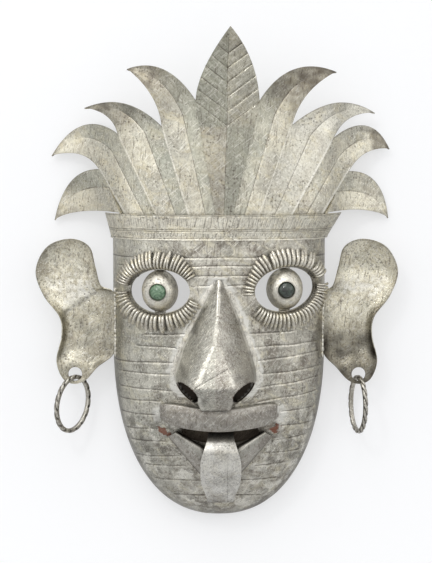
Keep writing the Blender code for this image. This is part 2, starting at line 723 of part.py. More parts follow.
def ear_outline(side):
    """Closed smooth outline of an ear, outward and upward; its inner edge lies on the face."""
    shift = EAR_OUTWARD[side] + ear_base()
    joins = [EAR_LOW_JOIN_Z + (EAR_TOP_JOIN_Z - EAR_LOW_JOIN_Z) * i / 2.0 for i in range(3)]
    keys = [ear_spot(share, shift) for share in EAR_OUTLINE]
    keys += [Vector((face_x_at(EAR_Y + 2.0 * SHEET, z) + FIT, z)) for z in joins]
    count = len(keys)
    points = []
    for i in range(count):
        before, start, end, after = (keys[(i + k - 1) % count] for k in range(4))
        on_face = count - 3 <= i < count - 1
        for t in (0.0,) if on_face else (0.0, 0.5):
            points.append(
                start + 0.5 * t * (end - before)
                + t ** 2 * (before - 2.5 * start + 2.0 * end - 0.5 * after)
                + 0.5 * t ** 3 * (3.0 * start - before - 3.0 * end + after)
            )
    return points


def build_ears(parts, cutters):
    """Dished sheets: the outline drawn in toward a spine in rings, flat round the lobe hole."""
    for side, sign in SIDES.items():
        points = ear_outline(side)
        shift = EAR_OUTWARD[side] + ear_base()
        top, low = (ear_spot(share, shift) for share in EAR_SPINE)
        hole = ear_spot(LOBE_HOLE, shift)
        bm = bmesh.new()
        rows = []
        for ring in (1.0, 0.80, 0.52, 0.22):
            row = []
            for point in points:
                share = max(0.0, min(1.0, (point - top).dot(low - top) / (low - top).length_squared))
                spot = top.lerp(low, share).lerp(point, ring)
                dish = EAR_DISH * (1.0 - ring ** 2) * (1.0 - 0.35 * share)
                dish *= smooth(((spot - hole).length - 1.1 * LOBE_HOLE_RADIUS) / (3.0 * LOBE_HOLE_RADIUS))
                row.append(bm.verts.new((sign * spot.x, EAR_Y + dish, spot.y)))
            rows.append(row)
        count = len(points)
        for outer, inner in zip(rows, rows[1:]):
            for i in range(count):
                j = (i + 1) % count
                bm.faces.new((outer[i], outer[j], inner[j], inner[i]))
        bmesh.ops.triangulate(bm, faces=[bm.faces.new(rows[-1])])
        bmesh.ops.recalc_face_normals(bm, faces=bm.faces)
        thicken(bm, lambda co: (co.x, co.y + SHEET, co.z))
        ear = finish(bm, "ear_" + side, parts, SILVERED)
        outline = ellipse(*lobe_hole(side), LOBE_HOLE_RADIUS, LOBE_HOLE_RADIUS, 0.0, 24)
        cut(ear, prism_cutter("lobe_cutter_" + side, cutters, outline, EAR_Y - 0.02, EAR_Y + 0.02))


def lobe_hole(side):
    spot = ear_spot(LOBE_HOLE, ear_base() + EAR_OUTWARD[side])
    return SIDES[side] * spot.x, spot.y


def build_rings(parts):
    for side, sign in SIDES.items():
        hx, hz = lobe_hole(side)
        # The wire bends down on both sides of the sheet, so it rests on the web a little way from its crown.
        reach = (RING_WIRE + SHEET) / 2.0 / math.cos(math.radians(RING_TURN[side]))
        lift = reach ** 2 * RING_HALF_HEIGHT / (2.0 * RING_HALF_WIDTH ** 2)
        low = hz - LOBE_HOLE_RADIUS + RING_CLEARANCE + lift + RING_WIRE / 2.0
        hinge = Vector((hx, EAR_Y + SHEET / 2.0, low))
        data = bpy.data.curves.new("ear_ring_" + side, "CURVE")
        data.dimensions = "3D"
        data.bevel_depth = RING_WIRE / 2.0
        data.bevel_resolution = 2
        data.resolution_u = 6
        spline = data.splines.new("BEZIER")
        spline.bezier_points.add(3)
        spline.use_cyclic_u = True
        lean = math.radians(RING_LEAN[side])
        top = math.sqrt((RING_HALF_HEIGHT * math.cos(lean)) ** 2 + (RING_HALF_WIDTH * math.sin(lean)) ** 2)
        side_shift = (RING_HALF_HEIGHT ** 2 - RING_HALF_WIDTH ** 2) * math.sin(lean) * math.cos(lean) / top
        kappa = 0.5523
        turn = Matrix.Rotation(lean, 2)
        for i, point in enumerate(spline.bezier_points):
            angle = 0.5 * math.pi * i
            spot = Vector((RING_HALF_WIDTH * math.cos(angle), RING_HALF_HEIGHT * math.sin(angle)))
            pull = Vector((-RING_HALF_WIDTH * math.sin(angle), RING_HALF_HEIGHT * math.cos(angle))) * kappa
            for name, place in (("co", spot), ("handle_left", spot - pull), ("handle_right", spot + pull)):
                turned = turn @ place
                setattr(point, name, (turned.x + side_shift, 0.0, turned.y - top))
            point.handle_left_type = "FREE"
            point.handle_right_type = "FREE"
        ring = bpy.data.objects.new("ear_ring_" + side, data)
        parts.objects.link(ring)
        colour, roughness, metallic = DARK_WIRE
        data.materials.append(material("ear_ring_" + side + "_metal", colour, roughness, metallic))
        ring.location = hinge
        ring.rotation_euler = (0.0, 0.0, math.radians(-sign * (90.0 - RING_TURN[side])))


def build_strap(parts, cutters):
    """A flat strip on the wall plane between the face's sides, with a lug above its middle."""
    half = face_x_at(STRAP_SHEET, 0.0) - SHEET - FIT
    low, high = -STRAP_HEIGHT / 2.0, STRAP_HEIGHT / 2.0
    outline = [(-half, low), (half, low), (half, high), (LUG_HALF_WIDTH, high)]
    for i in range(1, 12):
        angle = math.pi * i / 12.0
        outline.append((LUG_HALF_WIDTH * math.cos(angle), high + LUG_HEIGHT * math.sin(angle)))
    outline += [(-LUG_HALF_WIDTH, high), (-half, high)]
    bm = bmesh.new()
    front = bm.faces.new([bm.verts.new((x, -STRAP_SHEET, z)) for x, z in outline])
    made = bmesh.ops.extrude_face_region(bm, geom=[front], use_keep_orig=True)
    for item in made["geom"]:
        if isinstance(item, bmesh.types.BMVert):
            item.co.y = 0.0
    bmesh.ops.recalc_face_normals(bm, faces=bm.faces)
    strap = finish(bm, "hanging_strap", parts, DULL)
    nail = ellipse(0.0, high + 0.45 * LUG_HEIGHT, NAIL_HOLE_RADIUS, NAIL_HOLE_RADIUS, 0.0, 20)
    cut(strap, prism_cutter("nail_cutter", cutters, nail, -0.01, 0.01))


def main():
    for obj in list(bpy.data.objects):
        bpy.data.objects.remove(obj)
    parts = collection("metal_mask")
    cutters = collection("cutters")
    build_face(parts, cutters)
    build_headband(parts)
    build_crown(parts)
    build_nose(parts, cutters)
    build_upper_lip(parts)
    build_lower_lips(parts)
    build_tongue(parts)
    build_mouth_cup(parts)
    build_eyes(parts)
    build_lashes(parts)
    build_ears(parts, cutters)
    build_rings(parts)
    build_strap(parts, cutters)


main()
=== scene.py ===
"""Looks of a wall-hung folk mask of soldered, silvered sheet metal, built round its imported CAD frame.

Every place is in metres in the CAD frame: +X to the viewer's right, +Z up, the face looking along -Y.
"""

from __future__ import annotations

import json
import logging
import math
from dataclasses import dataclass
from enum import Enum
from functools import partial
from typing import Callable, Sequence

import bpy
import numpy as np
from mathutils import Matrix, Vector, noise

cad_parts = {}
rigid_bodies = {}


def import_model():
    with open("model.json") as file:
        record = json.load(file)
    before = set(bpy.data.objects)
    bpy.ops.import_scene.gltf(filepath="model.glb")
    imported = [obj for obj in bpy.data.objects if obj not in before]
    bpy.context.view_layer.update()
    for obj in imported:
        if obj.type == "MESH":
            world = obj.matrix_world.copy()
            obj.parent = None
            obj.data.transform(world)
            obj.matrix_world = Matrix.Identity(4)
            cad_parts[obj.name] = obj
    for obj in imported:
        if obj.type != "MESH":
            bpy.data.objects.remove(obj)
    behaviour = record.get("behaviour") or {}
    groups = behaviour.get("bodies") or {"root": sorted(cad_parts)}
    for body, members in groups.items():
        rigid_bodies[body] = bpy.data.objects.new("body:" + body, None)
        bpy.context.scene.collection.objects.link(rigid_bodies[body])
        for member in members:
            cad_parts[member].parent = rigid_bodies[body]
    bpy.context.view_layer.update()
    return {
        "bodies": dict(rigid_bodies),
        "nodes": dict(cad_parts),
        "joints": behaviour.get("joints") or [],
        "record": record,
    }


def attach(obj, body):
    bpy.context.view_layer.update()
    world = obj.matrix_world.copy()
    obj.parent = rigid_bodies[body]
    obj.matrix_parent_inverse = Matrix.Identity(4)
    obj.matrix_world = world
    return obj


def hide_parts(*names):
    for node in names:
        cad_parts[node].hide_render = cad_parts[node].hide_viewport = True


LOG = logging.getLogger("metal_mask")
Array = np.ndarray
Piece = bpy.types.Object
Depth = Callable[[Array, Array], Array]

MM = 0.001
SHEET = 1.0 * MM  # thickness of the sheet
FIT = 0.52 * MM  # room for solder between two pieces
MERGE = 0.01 * MM  # points closer than this are one point
STEP = 0.4 * MM  # step that slopes are measured over
SCORE_REACH = 3.0  # millimetres to each side of a cut line that its mask covers
FREE_FROM = 0.36  # share of a blade's length where it leaves its neighbours
MASK_BODY = "mask"


class Side(Enum):
    """The two sides of the mask, as the viewer sees them."""

    LEFT = -1
    RIGHT = 1

    @property
    def word(self) -> str:
        """Name of the side in node names."""
        return self.name.lower()


class Lid(Enum):
    """The two eyelash fringes of an eye."""

    UPPER = "upper"
    LOWER = "lower"


class Mask(Enum):
    """Painted masks that a sheet finish reads, one channel each."""

    # Darkens for dirt, and also for painted shade in recesses, under other pieces and on shaded sides
    GRIME = 0
    SOLDER = 1
    COPPER = 2


def smooth(t: Array | float) -> Array:
    """Ease from 0 to 1 between 0 and 1."""
    t = np.clip(t, 0.0, 1.0)
    return t * t * (3.0 - 2.0 * t)


def ridge(distance: Array, width: float) -> Array:
    """A rounded ridge of height 1 along the line where distance is 0."""
    return np.exp(-((distance / width) ** 2))


def nearest(distances: Sequence[Array]) -> Array:
    """The distance of least size among signed distances, place by place."""
    stacked = np.stack(distances)
    return np.take_along_axis(stacked, np.abs(stacked).argmin(axis=0)[None], axis=0)[0]


def xyz(x: Array, y: Array, z: Array) -> Array:
    """Stack three coordinates into rows of points."""
    return np.stack(np.broadcast_arrays(x, y, z), axis=-1).astype(float)


def wobble(points: Array, size: float, seed: float) -> Array:
    """Smooth irregularity of hand-worked sheet.

    Args:
        points: Places in metres, one row each.
        size: Width of a dent in metres.
        seed: Shift that makes each piece differ.

    Returns:
        A value from about -1 to 1 for each point.
    """
    shift = Vector((seed, 1.7 * seed, 2.3 * seed))
    return np.array([noise.noise(Vector(point) / size + shift) for point in points])


def slopes(depth: Depth, x: Array, z: Array) -> tuple[Array, Array]:
    """Slopes of a surface.

    Args:
        depth: Gives the surface's depth at places across and upward.
        x: Places across.
        z: Heights.

    Returns:
        The slopes of the depth across and upward.
    """
    across = (depth(x + STEP, z) - depth(x - STEP, z)) / (2.0 * STEP)
    upward = (depth(x, z + STEP) - depth(x, z - STEP)) / (2.0 * STEP)
    return across, upward


def eased(up: Array, levels: Sequence[float]) -> Array:
    """Run through levels at even steps, with the corners rounded.

    Args:
        up: Shares of the way, 0 to 1.
        levels: Values at even steps of the way.

    Returns:
        The value at each share.
    """
    knots = np.linspace(0.0, 1.0, len(levels))
    weights = ((0.0, 0.5), (-0.07, 0.25), (0.07, 0.25))
    return sum(weight * np.interp(up + shift, knots, levels) for shift, weight in weights)


def linear(code: str) -> tuple[float, float, float, float]:
    """Turn an sRGB hex colour into linear red, green, blue and alpha."""
    parts = [int(code[i:i + 2], 16) / 255.0 for i in (0, 2, 4)]
    return (*(c / 12.92 if c <= 0.04045 else ((c + 0.055) / 1.055) ** 2.4 for c in parts), 1.0)


def add_node(
    tree: bpy.types.NodeTree, kind: str, inputs: dict | None = None, output: str | int = 0, **settings: object,
) -> bpy.types.NodeSocket:
    """Add one node with its settings, input values and links.

    Args:
        tree: Node tree that gets the node.
        kind: Blender's name of the node's type.
        inputs: Socket name or number, and the value or output socket it takes.
        output: Name or number of the output that is wanted.
        settings: Properties of the node.

    Returns:
        The wanted output of the new node.
    """
    made = tree.nodes.new(kind)
    for name, value in settings.items():
        setattr(made, name, value)
    for key, value in (inputs or {}).items():
        if isinstance(value, bpy.types.NodeSocket):
            tree.links.new(value, made.inputs[key])
        else:
            made.inputs[key].default_value = value
    return made.outputs[output]


class Bench:
    """Modelling steps that every piece is made with."""

    # Masks on the back of a sheet: a little dirt all over, no polish or painted highlight, and no cut lines
    PLAIN_BACK = {"wear": ("color", (0.06, 0.0, 0.0, 1.0)), "polish": ("value", (0.0,)), "score": ("value", (0.0,))}

    @staticmethod
    def pick(obj: Piece | None = None) -> None:
        """Deselect everything, then select and activate one object.

        Args:
            obj: The object, or nothing before a primitive is added.
        """
        for other in bpy.context.selected_objects:
            other.select_set(False)
        bpy.context.view_layer.objects.active = obj
        if obj is not None:
            obj.select_set(True)

    @staticmethod
    def named(name: str) -> Piece:
        """Name the active object and its mesh.

        Args:
            name: The name.

        Returns:
            The object.
        """
        obj = bpy.context.active_object
        obj.name = obj.data.name = name
        return obj

    @staticmethod
    def add(name: str, primitive: Callable[..., object], **settings: object) -> Piece:
        """Add one primitive with nothing else selected.

        Args:
            name: Name of the piece.
            primitive: Operator that adds it.
            settings: The operator's sizes and place.

        Returns:
            The new object.
        """
        Bench.pick()
        primitive(**settings)
        return Bench.named(name)

    @staticmethod
    def points(obj: Piece) -> Array:
        """Vertex places of a mesh.

        Args:
            obj: The piece.

        Returns:
            Rows of points.
        """
        flat = np.empty(len(obj.data.vertices) * 3, np.float32)
        obj.data.vertices.foreach_get("co", flat)
        return flat.reshape(-1, 3).astype(float)

    @staticmethod
    def move(obj: Piece, points: Array) -> None:
        """Put every vertex of a mesh at its new place."""
        obj.data.vertices.foreach_set("co", points.astype(np.float32).ravel())
        obj.data.update()

    @staticmethod
    def edit(obj: Piece, *steps: Callable[[], object]) -> None:
        """Run edit-mode steps on the whole mesh.

        Args:
            obj: The piece.
            steps: Operators to run in order.
        """
        Bench.pick(obj)
        bpy.ops.object.mode_set(mode="EDIT")
        bpy.ops.mesh.select_all(action="SELECT")
        for step in steps:
            step()
        bpy.ops.object.mode_set(mode="OBJECT")

    @staticmethod
    def merge(obj: Piece) -> None:
        """Merge the points of a mesh that lie in one place."""
        Bench.edit(obj, lambda: bpy.ops.mesh.remove_doubles(threshold=MERGE))

    @staticmethod
    def turn_out(obj: Piece) -> None:
        """Turn the faces of a closed mesh outward."""
        Bench.edit(obj, lambda: bpy.ops.mesh.normals_make_consistent(inside=False))

    @staticmethod
    def modifier(obj: Piece, kind: str, **settings: object) -> None:
        """Add one modifier and apply it.

        Args:
            obj: The piece.
            kind: Blender's name of the modifier's type.
            settings: Properties of the modifier.
        """
        Bench.pick(obj)
        made = obj.modifiers.new(kind.lower(), kind)
        for name, value in settings.items():
            setattr(made, name, value)
        bpy.ops.object.modifier_apply(modifier=made.name)

    @staticmethod
    def grid(name: str, columns: int, rows: int) -> tuple[Piece, Array, Array]:
        """Add a flat grid for a sheet.

        Args:
            name: Name of the piece.
            columns: Cells across.
            rows: Cells upward.

        Returns:
            The grid, and the shares across and upward of its points, 0 to 1.
        """
        obj = Bench.add(
            name, bpy.ops.mesh.primitive_grid_add, x_subdivisions=columns, y_subdivisions=rows, size=1.0)
        across, up = (Bench.points(obj)[:, :2] + 0.5).T
        return obj, across, up

    @staticmethod
    def lay(obj: Piece, points: Array) -> None:
        """Lay a grid over a surface and turn it toward the viewer.

        Args:
            obj: The grid.
            points: Where its points go.
        """
        Bench.move(obj, points)
        facing = sum(face.normal.y * face.area for face in obj.data.polygons)
        if facing > 0.0:
            Bench.edit(obj, bpy.ops.mesh.flip_normals)

    @staticmethod
    def thicken(obj: Piece, thickness: float, outward: bool = False) -> None:
        """Give an open sheet its thickness and a plain dull back.

        Args:
            obj: The open sheet, with its masks painted.
            thickness: Thickness in metres.
            outward: Whether the thickness goes in front of the faces and not behind them.
        """
        sheet = Bench.points(obj)
        count = len(sheet)
        Bench.modifier(obj, "SOLIDIFY", thickness=thickness, offset=1.0 if outward else -1.0)
        kept = bool(np.abs(Bench.points(obj)[:count] - sheet).max() < MERGE)
        back = slice(count, None) if kept != outward else slice(0, count)
        for name, (key, plain) in Bench.PLAIN_BACK.items():
            layer = obj.data.attributes.get(name)
            if layer is None:
                continue
            values = np.empty(len(layer.data) * len(plain), np.float32)
            layer.data.foreach_get(key, values)
            values.reshape(-1, len(plain))[back] = plain
            layer.data.foreach_set(key, values)

    @staticmethod
    def delete_faces(obj: Piece, inside: Callable[[Array], Array]) -> None:
        """Delete the faces whose middles lie inside an outline.

        Args:
            obj: The piece.
            inside: Tells for rows of points which lie inside.
        """
        mesh = obj.data
        middles = np.empty(len(mesh.polygons) * 3, np.float32)
        mesh.polygons.foreach_get("center", middles)
        chosen = inside(middles.reshape(-1, 3))
        bpy.context.tool_settings.mesh_select_mode = (False, False, True)
        Bench.pick(obj)
        bpy.ops.object.mode_set(mode="EDIT")
        bpy.ops.mesh.select_all(action="DESELECT")
        bpy.ops.object.mode_set(mode="OBJECT")
        mesh.polygons.foreach_set("select", chosen)
        bpy.ops.object.mode_set(mode="EDIT")
        bpy.ops.mesh.delete(type="FACE")
        bpy.ops.object.mode_set(mode="OBJECT")

    @staticmethod
    def rim(obj: Piece) -> Array:
        """Find the open edges of a sheet.

        Args:
            obj: The sheet.

        Returns:
            Numbers of the vertices on its open edges.
        """
        mesh = obj.data
        loops = np.empty(len(mesh.loops), np.int32)
        mesh.loops.foreach_get("edge_index", loops)
        ends = np.empty(len(mesh.edges) * 2, np.int32)
        mesh.edges.foreach_get("vertices", ends)
        lone = np.bincount(loops, minlength=len(mesh.edges)) == 1
        return np.unique(ends.reshape(-1, 2)[lone])

    @staticmethod
    def drill(obj: Piece, cutter: Piece) -> None:
        """Cut a solid cutter out of a piece and remove the cutter."""
        Bench.modifier(obj, "BOOLEAN", operation="DIFFERENCE", solver="EXACT", object=cutter)
        bpy.data.objects.remove(cutter)

    @staticmethod
    def join(name: str, pieces: Sequence[Piece]) -> Piece:
        """Join meshes into one piece.

        Args:
            name: Name of the piece.
            pieces: The meshes.

        Returns:
            The joined piece.
        """
        Bench.pick(pieces[0])
        for piece in pieces:
            piece.select_set(True)
        bpy.ops.object.join()
        return Bench.named(name)

    @staticmethod
    def shade(obj: Piece, degrees: float = 40.0) -> None:
        """Shade a piece smooth, with its sharp edges kept."""
        Bench.pick(obj)
        bpy.ops.object.shade_smooth_by_angle(angle=math.radians(degrees))

    @staticmethod
    def paint(obj: Piece, **masks: Array | float) -> None:
        """Store a piece's masks, one value a vertex.

        Args:
            obj: The piece.
            masks: Shares of dirt with painted shade, solder, copper, tint with painted facet shade, and polish with
                painted highlights, and score, the signed millimetres from a cut line.
        """
        count = len(obj.data.vertices)
        wear = np.ones((count, 4), np.float32)
        for mask in Mask:
            wear[:, mask.value] = np.clip(masks.get(mask.name.lower(), 0.0), 0.0, 1.0)
        layer = obj.data.attributes.new("wear", "FLOAT_COLOR", "POINT")
        layer.data.foreach_set("color", wear.ravel())
        for name in ("tint", "polish"):
            values = np.zeros(count, np.float32)
            values[:] = np.clip(masks.get(name, 0.0), 0.0, 1.0)
            layer = obj.data.attributes.new(name, "FLOAT", "POINT")
            layer.data.foreach_set("value", values)
        if "score" in masks:
            layer = obj.data.attributes.new("score", "FLOAT", "POINT")
            score = np.clip(masks["score"], -SCORE_REACH, SCORE_REACH) / (2.0 * SCORE_REACH) + 0.5
            layer.data.foreach_set("value", score.astype(np.float32))

    @staticmethod
    def hang(obj: Piece, body: str, slot: str, look: bpy.types.Material, *nodes: str) -> None:
        """Dress a finished piece and put it on its body.

        Args:
            obj: The piece.
            body: Body of the frame that it rides on.
            slot: Name of its material slot; not used.
            look: Its material.
            nodes: CAD nodes that it stands for.
        """
        obj.data.materials.clear()
        obj.data.materials.append(look)
        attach(obj, body)
        if nodes:
            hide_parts(*nodes)
        LOG.info("%s: %d faces", obj.name, len(obj.data.polygons))


# Surfaces that carry the pieces


@dataclass(frozen=True)
class FaceSurface:
    """The outer surface of the face plate."""

    half_width: float = 87.0 * MM
    depth: float = 60.0 * MM
    cheek_z: float = -76.4 * MM
    chin_z: float = -222.0 * MM
    top_z: float = 16.0 * MM
    jaw_power: float = 2.27
    section_power: float = 2.5

    def jaw(self, z: Array) -> Array:
        """Share of the way from the cheek line down to the chin."""
        return np.clip((self.cheek_z - z) / (self.cheek_z - self.chin_z), 0.0, None)

    def half_at(self, z: Array) -> Array:
        """Half-width of the outline at a height."""
        return self.half_width * np.clip(1.0 - self.jaw(z) ** self.jaw_power, 0.0, None) ** (1.0 / self.jaw_power)

    def gauge(self, x: Array, z: Array) -> Array:
        """0 along the middle of the face, 1 on its outline."""
        power = self.jaw_power
        return ((np.abs(x) / self.half_width) ** power + self.jaw(z) ** power) ** (1.0 / power)

    def y(self, x: Array, z: Array) -> Array:
        """Depth of the surface."""
        power = self.section_power
        return -self.depth * np.clip(1.0 - self.gauge(x, z) ** power, 0.0, None) ** (1.0 / power)

    def side_x(self, y: float, z: Array) -> Array:
        """Half-width of the surface at one depth."""
        rho = (1.0 - (abs(y) / self.depth) ** self.section_power) ** (1.0 / self.section_power)
        return self.half_width * (rho ** self.jaw_power - self.jaw(z) ** self.jaw_power) ** (1.0 / self.jaw_power)

    def normal(self, x: Array, z: Array) -> Array:
        """Outward directions.

        Args:
            x: Places across.
            z: Heights.

        Returns:
            Rows of unit vectors.
        """
        across, upward = slopes(self.y, x, z)
        rows = xyz(across, -1.0, upward)
        return rows / np.linalg.norm(rows, axis=1, keepdims=True)


@dataclass(frozen=True)
class CrownSurface:
    """The flaring headband and the front of the blades rooted in it."""

    face: FaceSurface = FaceSurface()
    bottom_z: float = 8.8 * MM
    height: float = 20.0 * MM
    flare: float = 8.5 * MM
    tilt: float = 1.5 * MM
    axis_x: float = 3.5 * MM
    spread: float = 0.10
    end_angle: float = 8.0
    ease_from: float = 0.90

    @property
    def top_z(self) -> float:
        """Height of the headband's upper edge."""
        return self.bottom_z + self.height

    def sizes(self, z: Array) -> tuple[Array, Array, Array]:
        """Inner half-width, inner depth and sideways shift of the headband at a height."""
        up = (z - self.bottom_z) / self.height
        return (
            self.face.half_width + FIT + self.flare * up,
            self.face.depth + FIT + self.tilt * up,
            self.axis_x * up,
        )

    def band(self, turn: Array, z: Array, proud: Array | float) -> Array:
        """Points of the headband.

        Args:
            turn: Shares of the way from the viewer's left to right.
            z: Heights.
            proud: How far the points stand off its inside.

        Returns:
            The points, one row each.
        """
        half, depth, shift = self.sizes(z)
        angle = np.radians(self.end_angle + (180.0 - 2.0 * self.end_angle) * (1.0 - turn))
        power = 2.0 / self.face.section_power
        c, s = np.cos(angle), np.sin(angle)
        x = shift + (half + proud) * np.copysign(np.abs(c) ** power, c)
        return xyz(x, -(depth + proud) * s ** power, z)

    def oval(self, share: Array) -> Array:
        """Depth share of the section at a share of its half-width."""
        power = self.face.section_power
        return np.clip(1.0 - np.abs(share) ** power, 0.0, None) ** (1.0 / power)

    def y(self, x: Array, z: Array) -> Array:
        """Depth of the front of the blades, easing flat beyond the ends of the headband.

        Args:
            x: Places across.
            z: Heights.

        Returns:
            The depth at each place.
        """
        half, depth, shift = self.sizes(np.minimum(z, self.top_z))
        half = half + self.spread * np.clip(z - self.top_z, 0.0, None) - FIT
        depth = depth - FIT
        share = np.abs(x - shift) / half
        last = self.oval(np.array(self.ease_from))
        edge = depth * last
        steep = depth / half * (self.ease_from / last) ** (self.face.section_power - 1.0)
        beyond = -edge * np.exp(-(share - self.ease_from) * half * steep / edge)
        return np.where(share <= self.ease_from, -depth * self.oval(np.minimum(share, self.ease_from)), beyond)

    def stretch(self, x: Array, z: Array) -> Array:
        """Depth per unit of thickness measured square to the blades."""
        across, upward = slopes(self.y, x, z)
        return np.sqrt(1.0 + across ** 2 + upward ** 2)


FACE = FaceSurface()
CROWN = CrownSurface()


# Finishes


@dataclass(frozen=True)
class SilveredSheet:
    """Tarnished silvered sheet: hand-hammered, satin, blotched, with dark pits and dirt in its cuts, and the painted
    shade and highlights that its masks hold.
    """

    name: str
    light: str = "d6d2c3"
    middle: str = "b5b2a7"
    brown: str = "8d8276"
    cream: str = "dbd1b1"
    stain: str = "665d53"
    green: str = "b0b2a8"
    grime: str = "2c2620"
    solder: str = "e6e4dc"
    copper: str = "80503f"
    bright: str = "f6f3e8"
    rough_low: float = 0.28
    rough_high: float = 0.48
    pits: float = 0.8
    grain: float = 0.36
    scratch: float = 0.62
    brown_share: float = 0.6
    cream_share: float = 0.45
    stain_share: float = 0.4
    relief: float = 0.30 * MM
    metallic: float = 0.9

    # Each irregular field: width and length of its marks in mm, turn from upright, detail, roughness, twist.
    # Real grain and scratches are a few tenths of a millimetre wide, too fine to show at 0.8 mm a pixel, so the
    # last four fields are drawn several times as coarse as that.
    FIELDS = {
        "cloud": (30.0, 30.0, 0.0, 4.0, 0.60, 0.0),
        "blotch": (9.0, 8.0, 0.0, 8.0, 0.66, 0.8),
        "cream": (20.0, 12.0, 0.5, 7.0, 0.63, 1.6),
        "stain": (16.0, 22.0, 0.5, 8.0, 0.64, 1.0),
        "gather": (19.0, 19.0, 0.0, 2.0, 0.50, 0.0),
        "grain": (1.7, 1.7, 0.0, 4.0, 0.70, 0.0),
        "upright": (0.9, 12.0, 0.12, 3.0, 0.60, 0.0),
        "rising": (0.8, 9.0, 0.85, 3.0, 0.60, 0.0),
        "falling": (0.8, 7.0, -0.75, 3.0, 0.60, 0.0),
    }

    def material(self) -> bpy.types.Material:
        """Build the finish.

        Returns:
            A material that reads Object coordinates and the masks painted on its piece.
        """
        look = bpy.data.materials.new(self.name)
        look.use_nodes = True
        node = partial(add_node, look.node_tree)
        place = node("ShaderNodeTexCoord", {}, "Object")
        wear = node("ShaderNodeAttribute", {}, "Color", attribute_name="wear")
        grime, solder, copper = node("ShaderNodeSeparateColor", {"Color": wear}).node.outputs
        tint, polish, score = (
            node("ShaderNodeAttribute", {}, "Fac", attribute_name=name) for name in ("tint", "polish", "score"))
        field = {}
        for name, (across, along, turn, detail, rough, twist) in self.FIELDS.items():
            laid = node("ShaderNodeMapping", {
                "Vector": place, "Rotation": (0.0, turn, 0.0), "Scale": (across * MM, across * MM, along * MM),
            }, vector_type="TEXTURE")
            field[name] = node("ShaderNodeTexNoise", {
                "Vector": laid, "Scale": 1.0, "Detail": detail, "Roughness": rough, "Distortion": twist})
        # Pits up to 1 mm across, gathered in places: coarser than real pinpricks, which are too fine to show
        cell = node("ShaderNodeTexVoronoi", {"Vector": place, "Scale": 1.0 / (2.7 * MM)}, "Distance")
        reach = node("ShaderNodeMapRange", {0: field["gather"], 1: 0.38, 2: 0.66, 3: 0.03, 4: 0.42})
        pit = node("ShaderNodeMapRange", {0: cell, 1: reach, 2: 0.0, 3: 0.0, 4: self.pits})
        # Solder and bare copper end in ragged edges
        ragged = node("ShaderNodeMath", {0: field["blotch"], 1: 2.2, 2: -1.1}, operation="MULTIPLY_ADD")
        run, bare = (node("ShaderNodeMath", {0: mask, 1: ragged}, operation="ADD") for mask in (solder, copper))
        rubbed_and_highlit = node("ShaderNodeMath", {0: polish, 1: field["grain"]}, operation="MULTIPLY")
        # A chased line is a thin dark cut, broken where the tool skipped
        away = node("ShaderNodeMath", {0: score, 1: 2.0 * SCORE_REACH, 2: -SCORE_REACH}, operation="MULTIPLY_ADD")
        away = node("ShaderNodeMath", {0: away}, operation="ABSOLUTE")
        skip = node("ShaderNodeMapRange", {0: field["blotch"], 1: 0.34, 2: 0.50, 3: 0.18, 4: 0.62})
        line = node("ShaderNodeMapRange", {0: away, 1: 0.72, 2: 0.10, 3: 0.0, 4: skip})
        # Colours laid over each other: pale silver, duller tones, tarnish, tint and painted facet shade, grain,
        # scratches, wear and painted highlights, dirt and painted shade
        base = linear(self.light)
        for share, low, high, most, colour in (
            (field["cloud"], 0.42, 0.58, 1.0, self.middle),
            (field["blotch"], 0.47, 0.70, self.brown_share, self.brown),
            (field["cream"], 0.52, 0.60, self.cream_share, self.cream),
            (field["stain"], 0.52, 0.62, self.stain_share, self.stain),
            (tint, 0.0, 1.0, 1.0, self.green),
            (field["grain"], 0.49, 0.34, self.grain, self.stain),
            (field["grain"], 0.53, 0.68, 0.7 * self.grain, self.bright),
            (field["upright"], 0.56, 0.66, self.scratch, self.stain),
            (field["rising"], 0.57, 0.65, self.scratch, self.bright),
            (field["falling"], 0.58, 0.66, 0.8 * self.scratch, self.bright),
            (rubbed_and_highlit, 0.12, 0.50, 0.9, self.bright),
            (pit, 0.0, 1.0, 1.0, self.grime),
            (run, 0.40, 0.80, 0.9, self.solder),
            (bare, 0.50, 0.66, 0.85, self.copper),
            (grime, 0.0, 1.0, 1.0, self.grime),
            (line, 0.0, 1.0, 1.0, self.grime),
        ):
            share = node("ShaderNodeMapRange", {0: share, 1: low, 2: high, 3: 0.0, 4: most})
            base = node("ShaderNodeMix", {0: share, 6: base, 7: linear(colour)}, 2, data_type="RGBA")
        # Grain and blotches are duller than the bare sheet, rubbed edges and painted highlights are smoother
        dull = node("ShaderNodeMath", {0: field["blotch"], 1: field["grain"]}, operation="ADD")
        dull = node("ShaderNodeMapRange", {0: dull, 1: 0.75, 2: 1.25, 3: self.rough_low, 4: self.rough_high})
        dull = node("ShaderNodeMath", {0: polish, 1: -0.12, 2: dull}, operation="MULTIPLY_ADD")
        # Hammer marks, scratches, pits and lines stand off the sheet
        level = 0.0
        for part, weight in (
            (field["grain"], 0.7), (field["blotch"], 1.0), (field["upright"], -0.5), (pit, -1.0), (line, -1.0),
        ):
            level = node("ShaderNodeMath", {0: part, 1: weight, 2: level}, operation="MULTIPLY_ADD")
        bump = node("ShaderNodeBump", {"Height": level, "Strength": 0.65, "Distance": self.relief})
        shader = look.node_tree.nodes["Principled BSDF"]
        shader.inputs["Metallic"].default_value = self.metallic
        for name, output in (("Base Color", base), ("Roughness", dull), ("Normal", bump)):
            look.node_tree.links.new(output, shader.inputs[name])
        return look


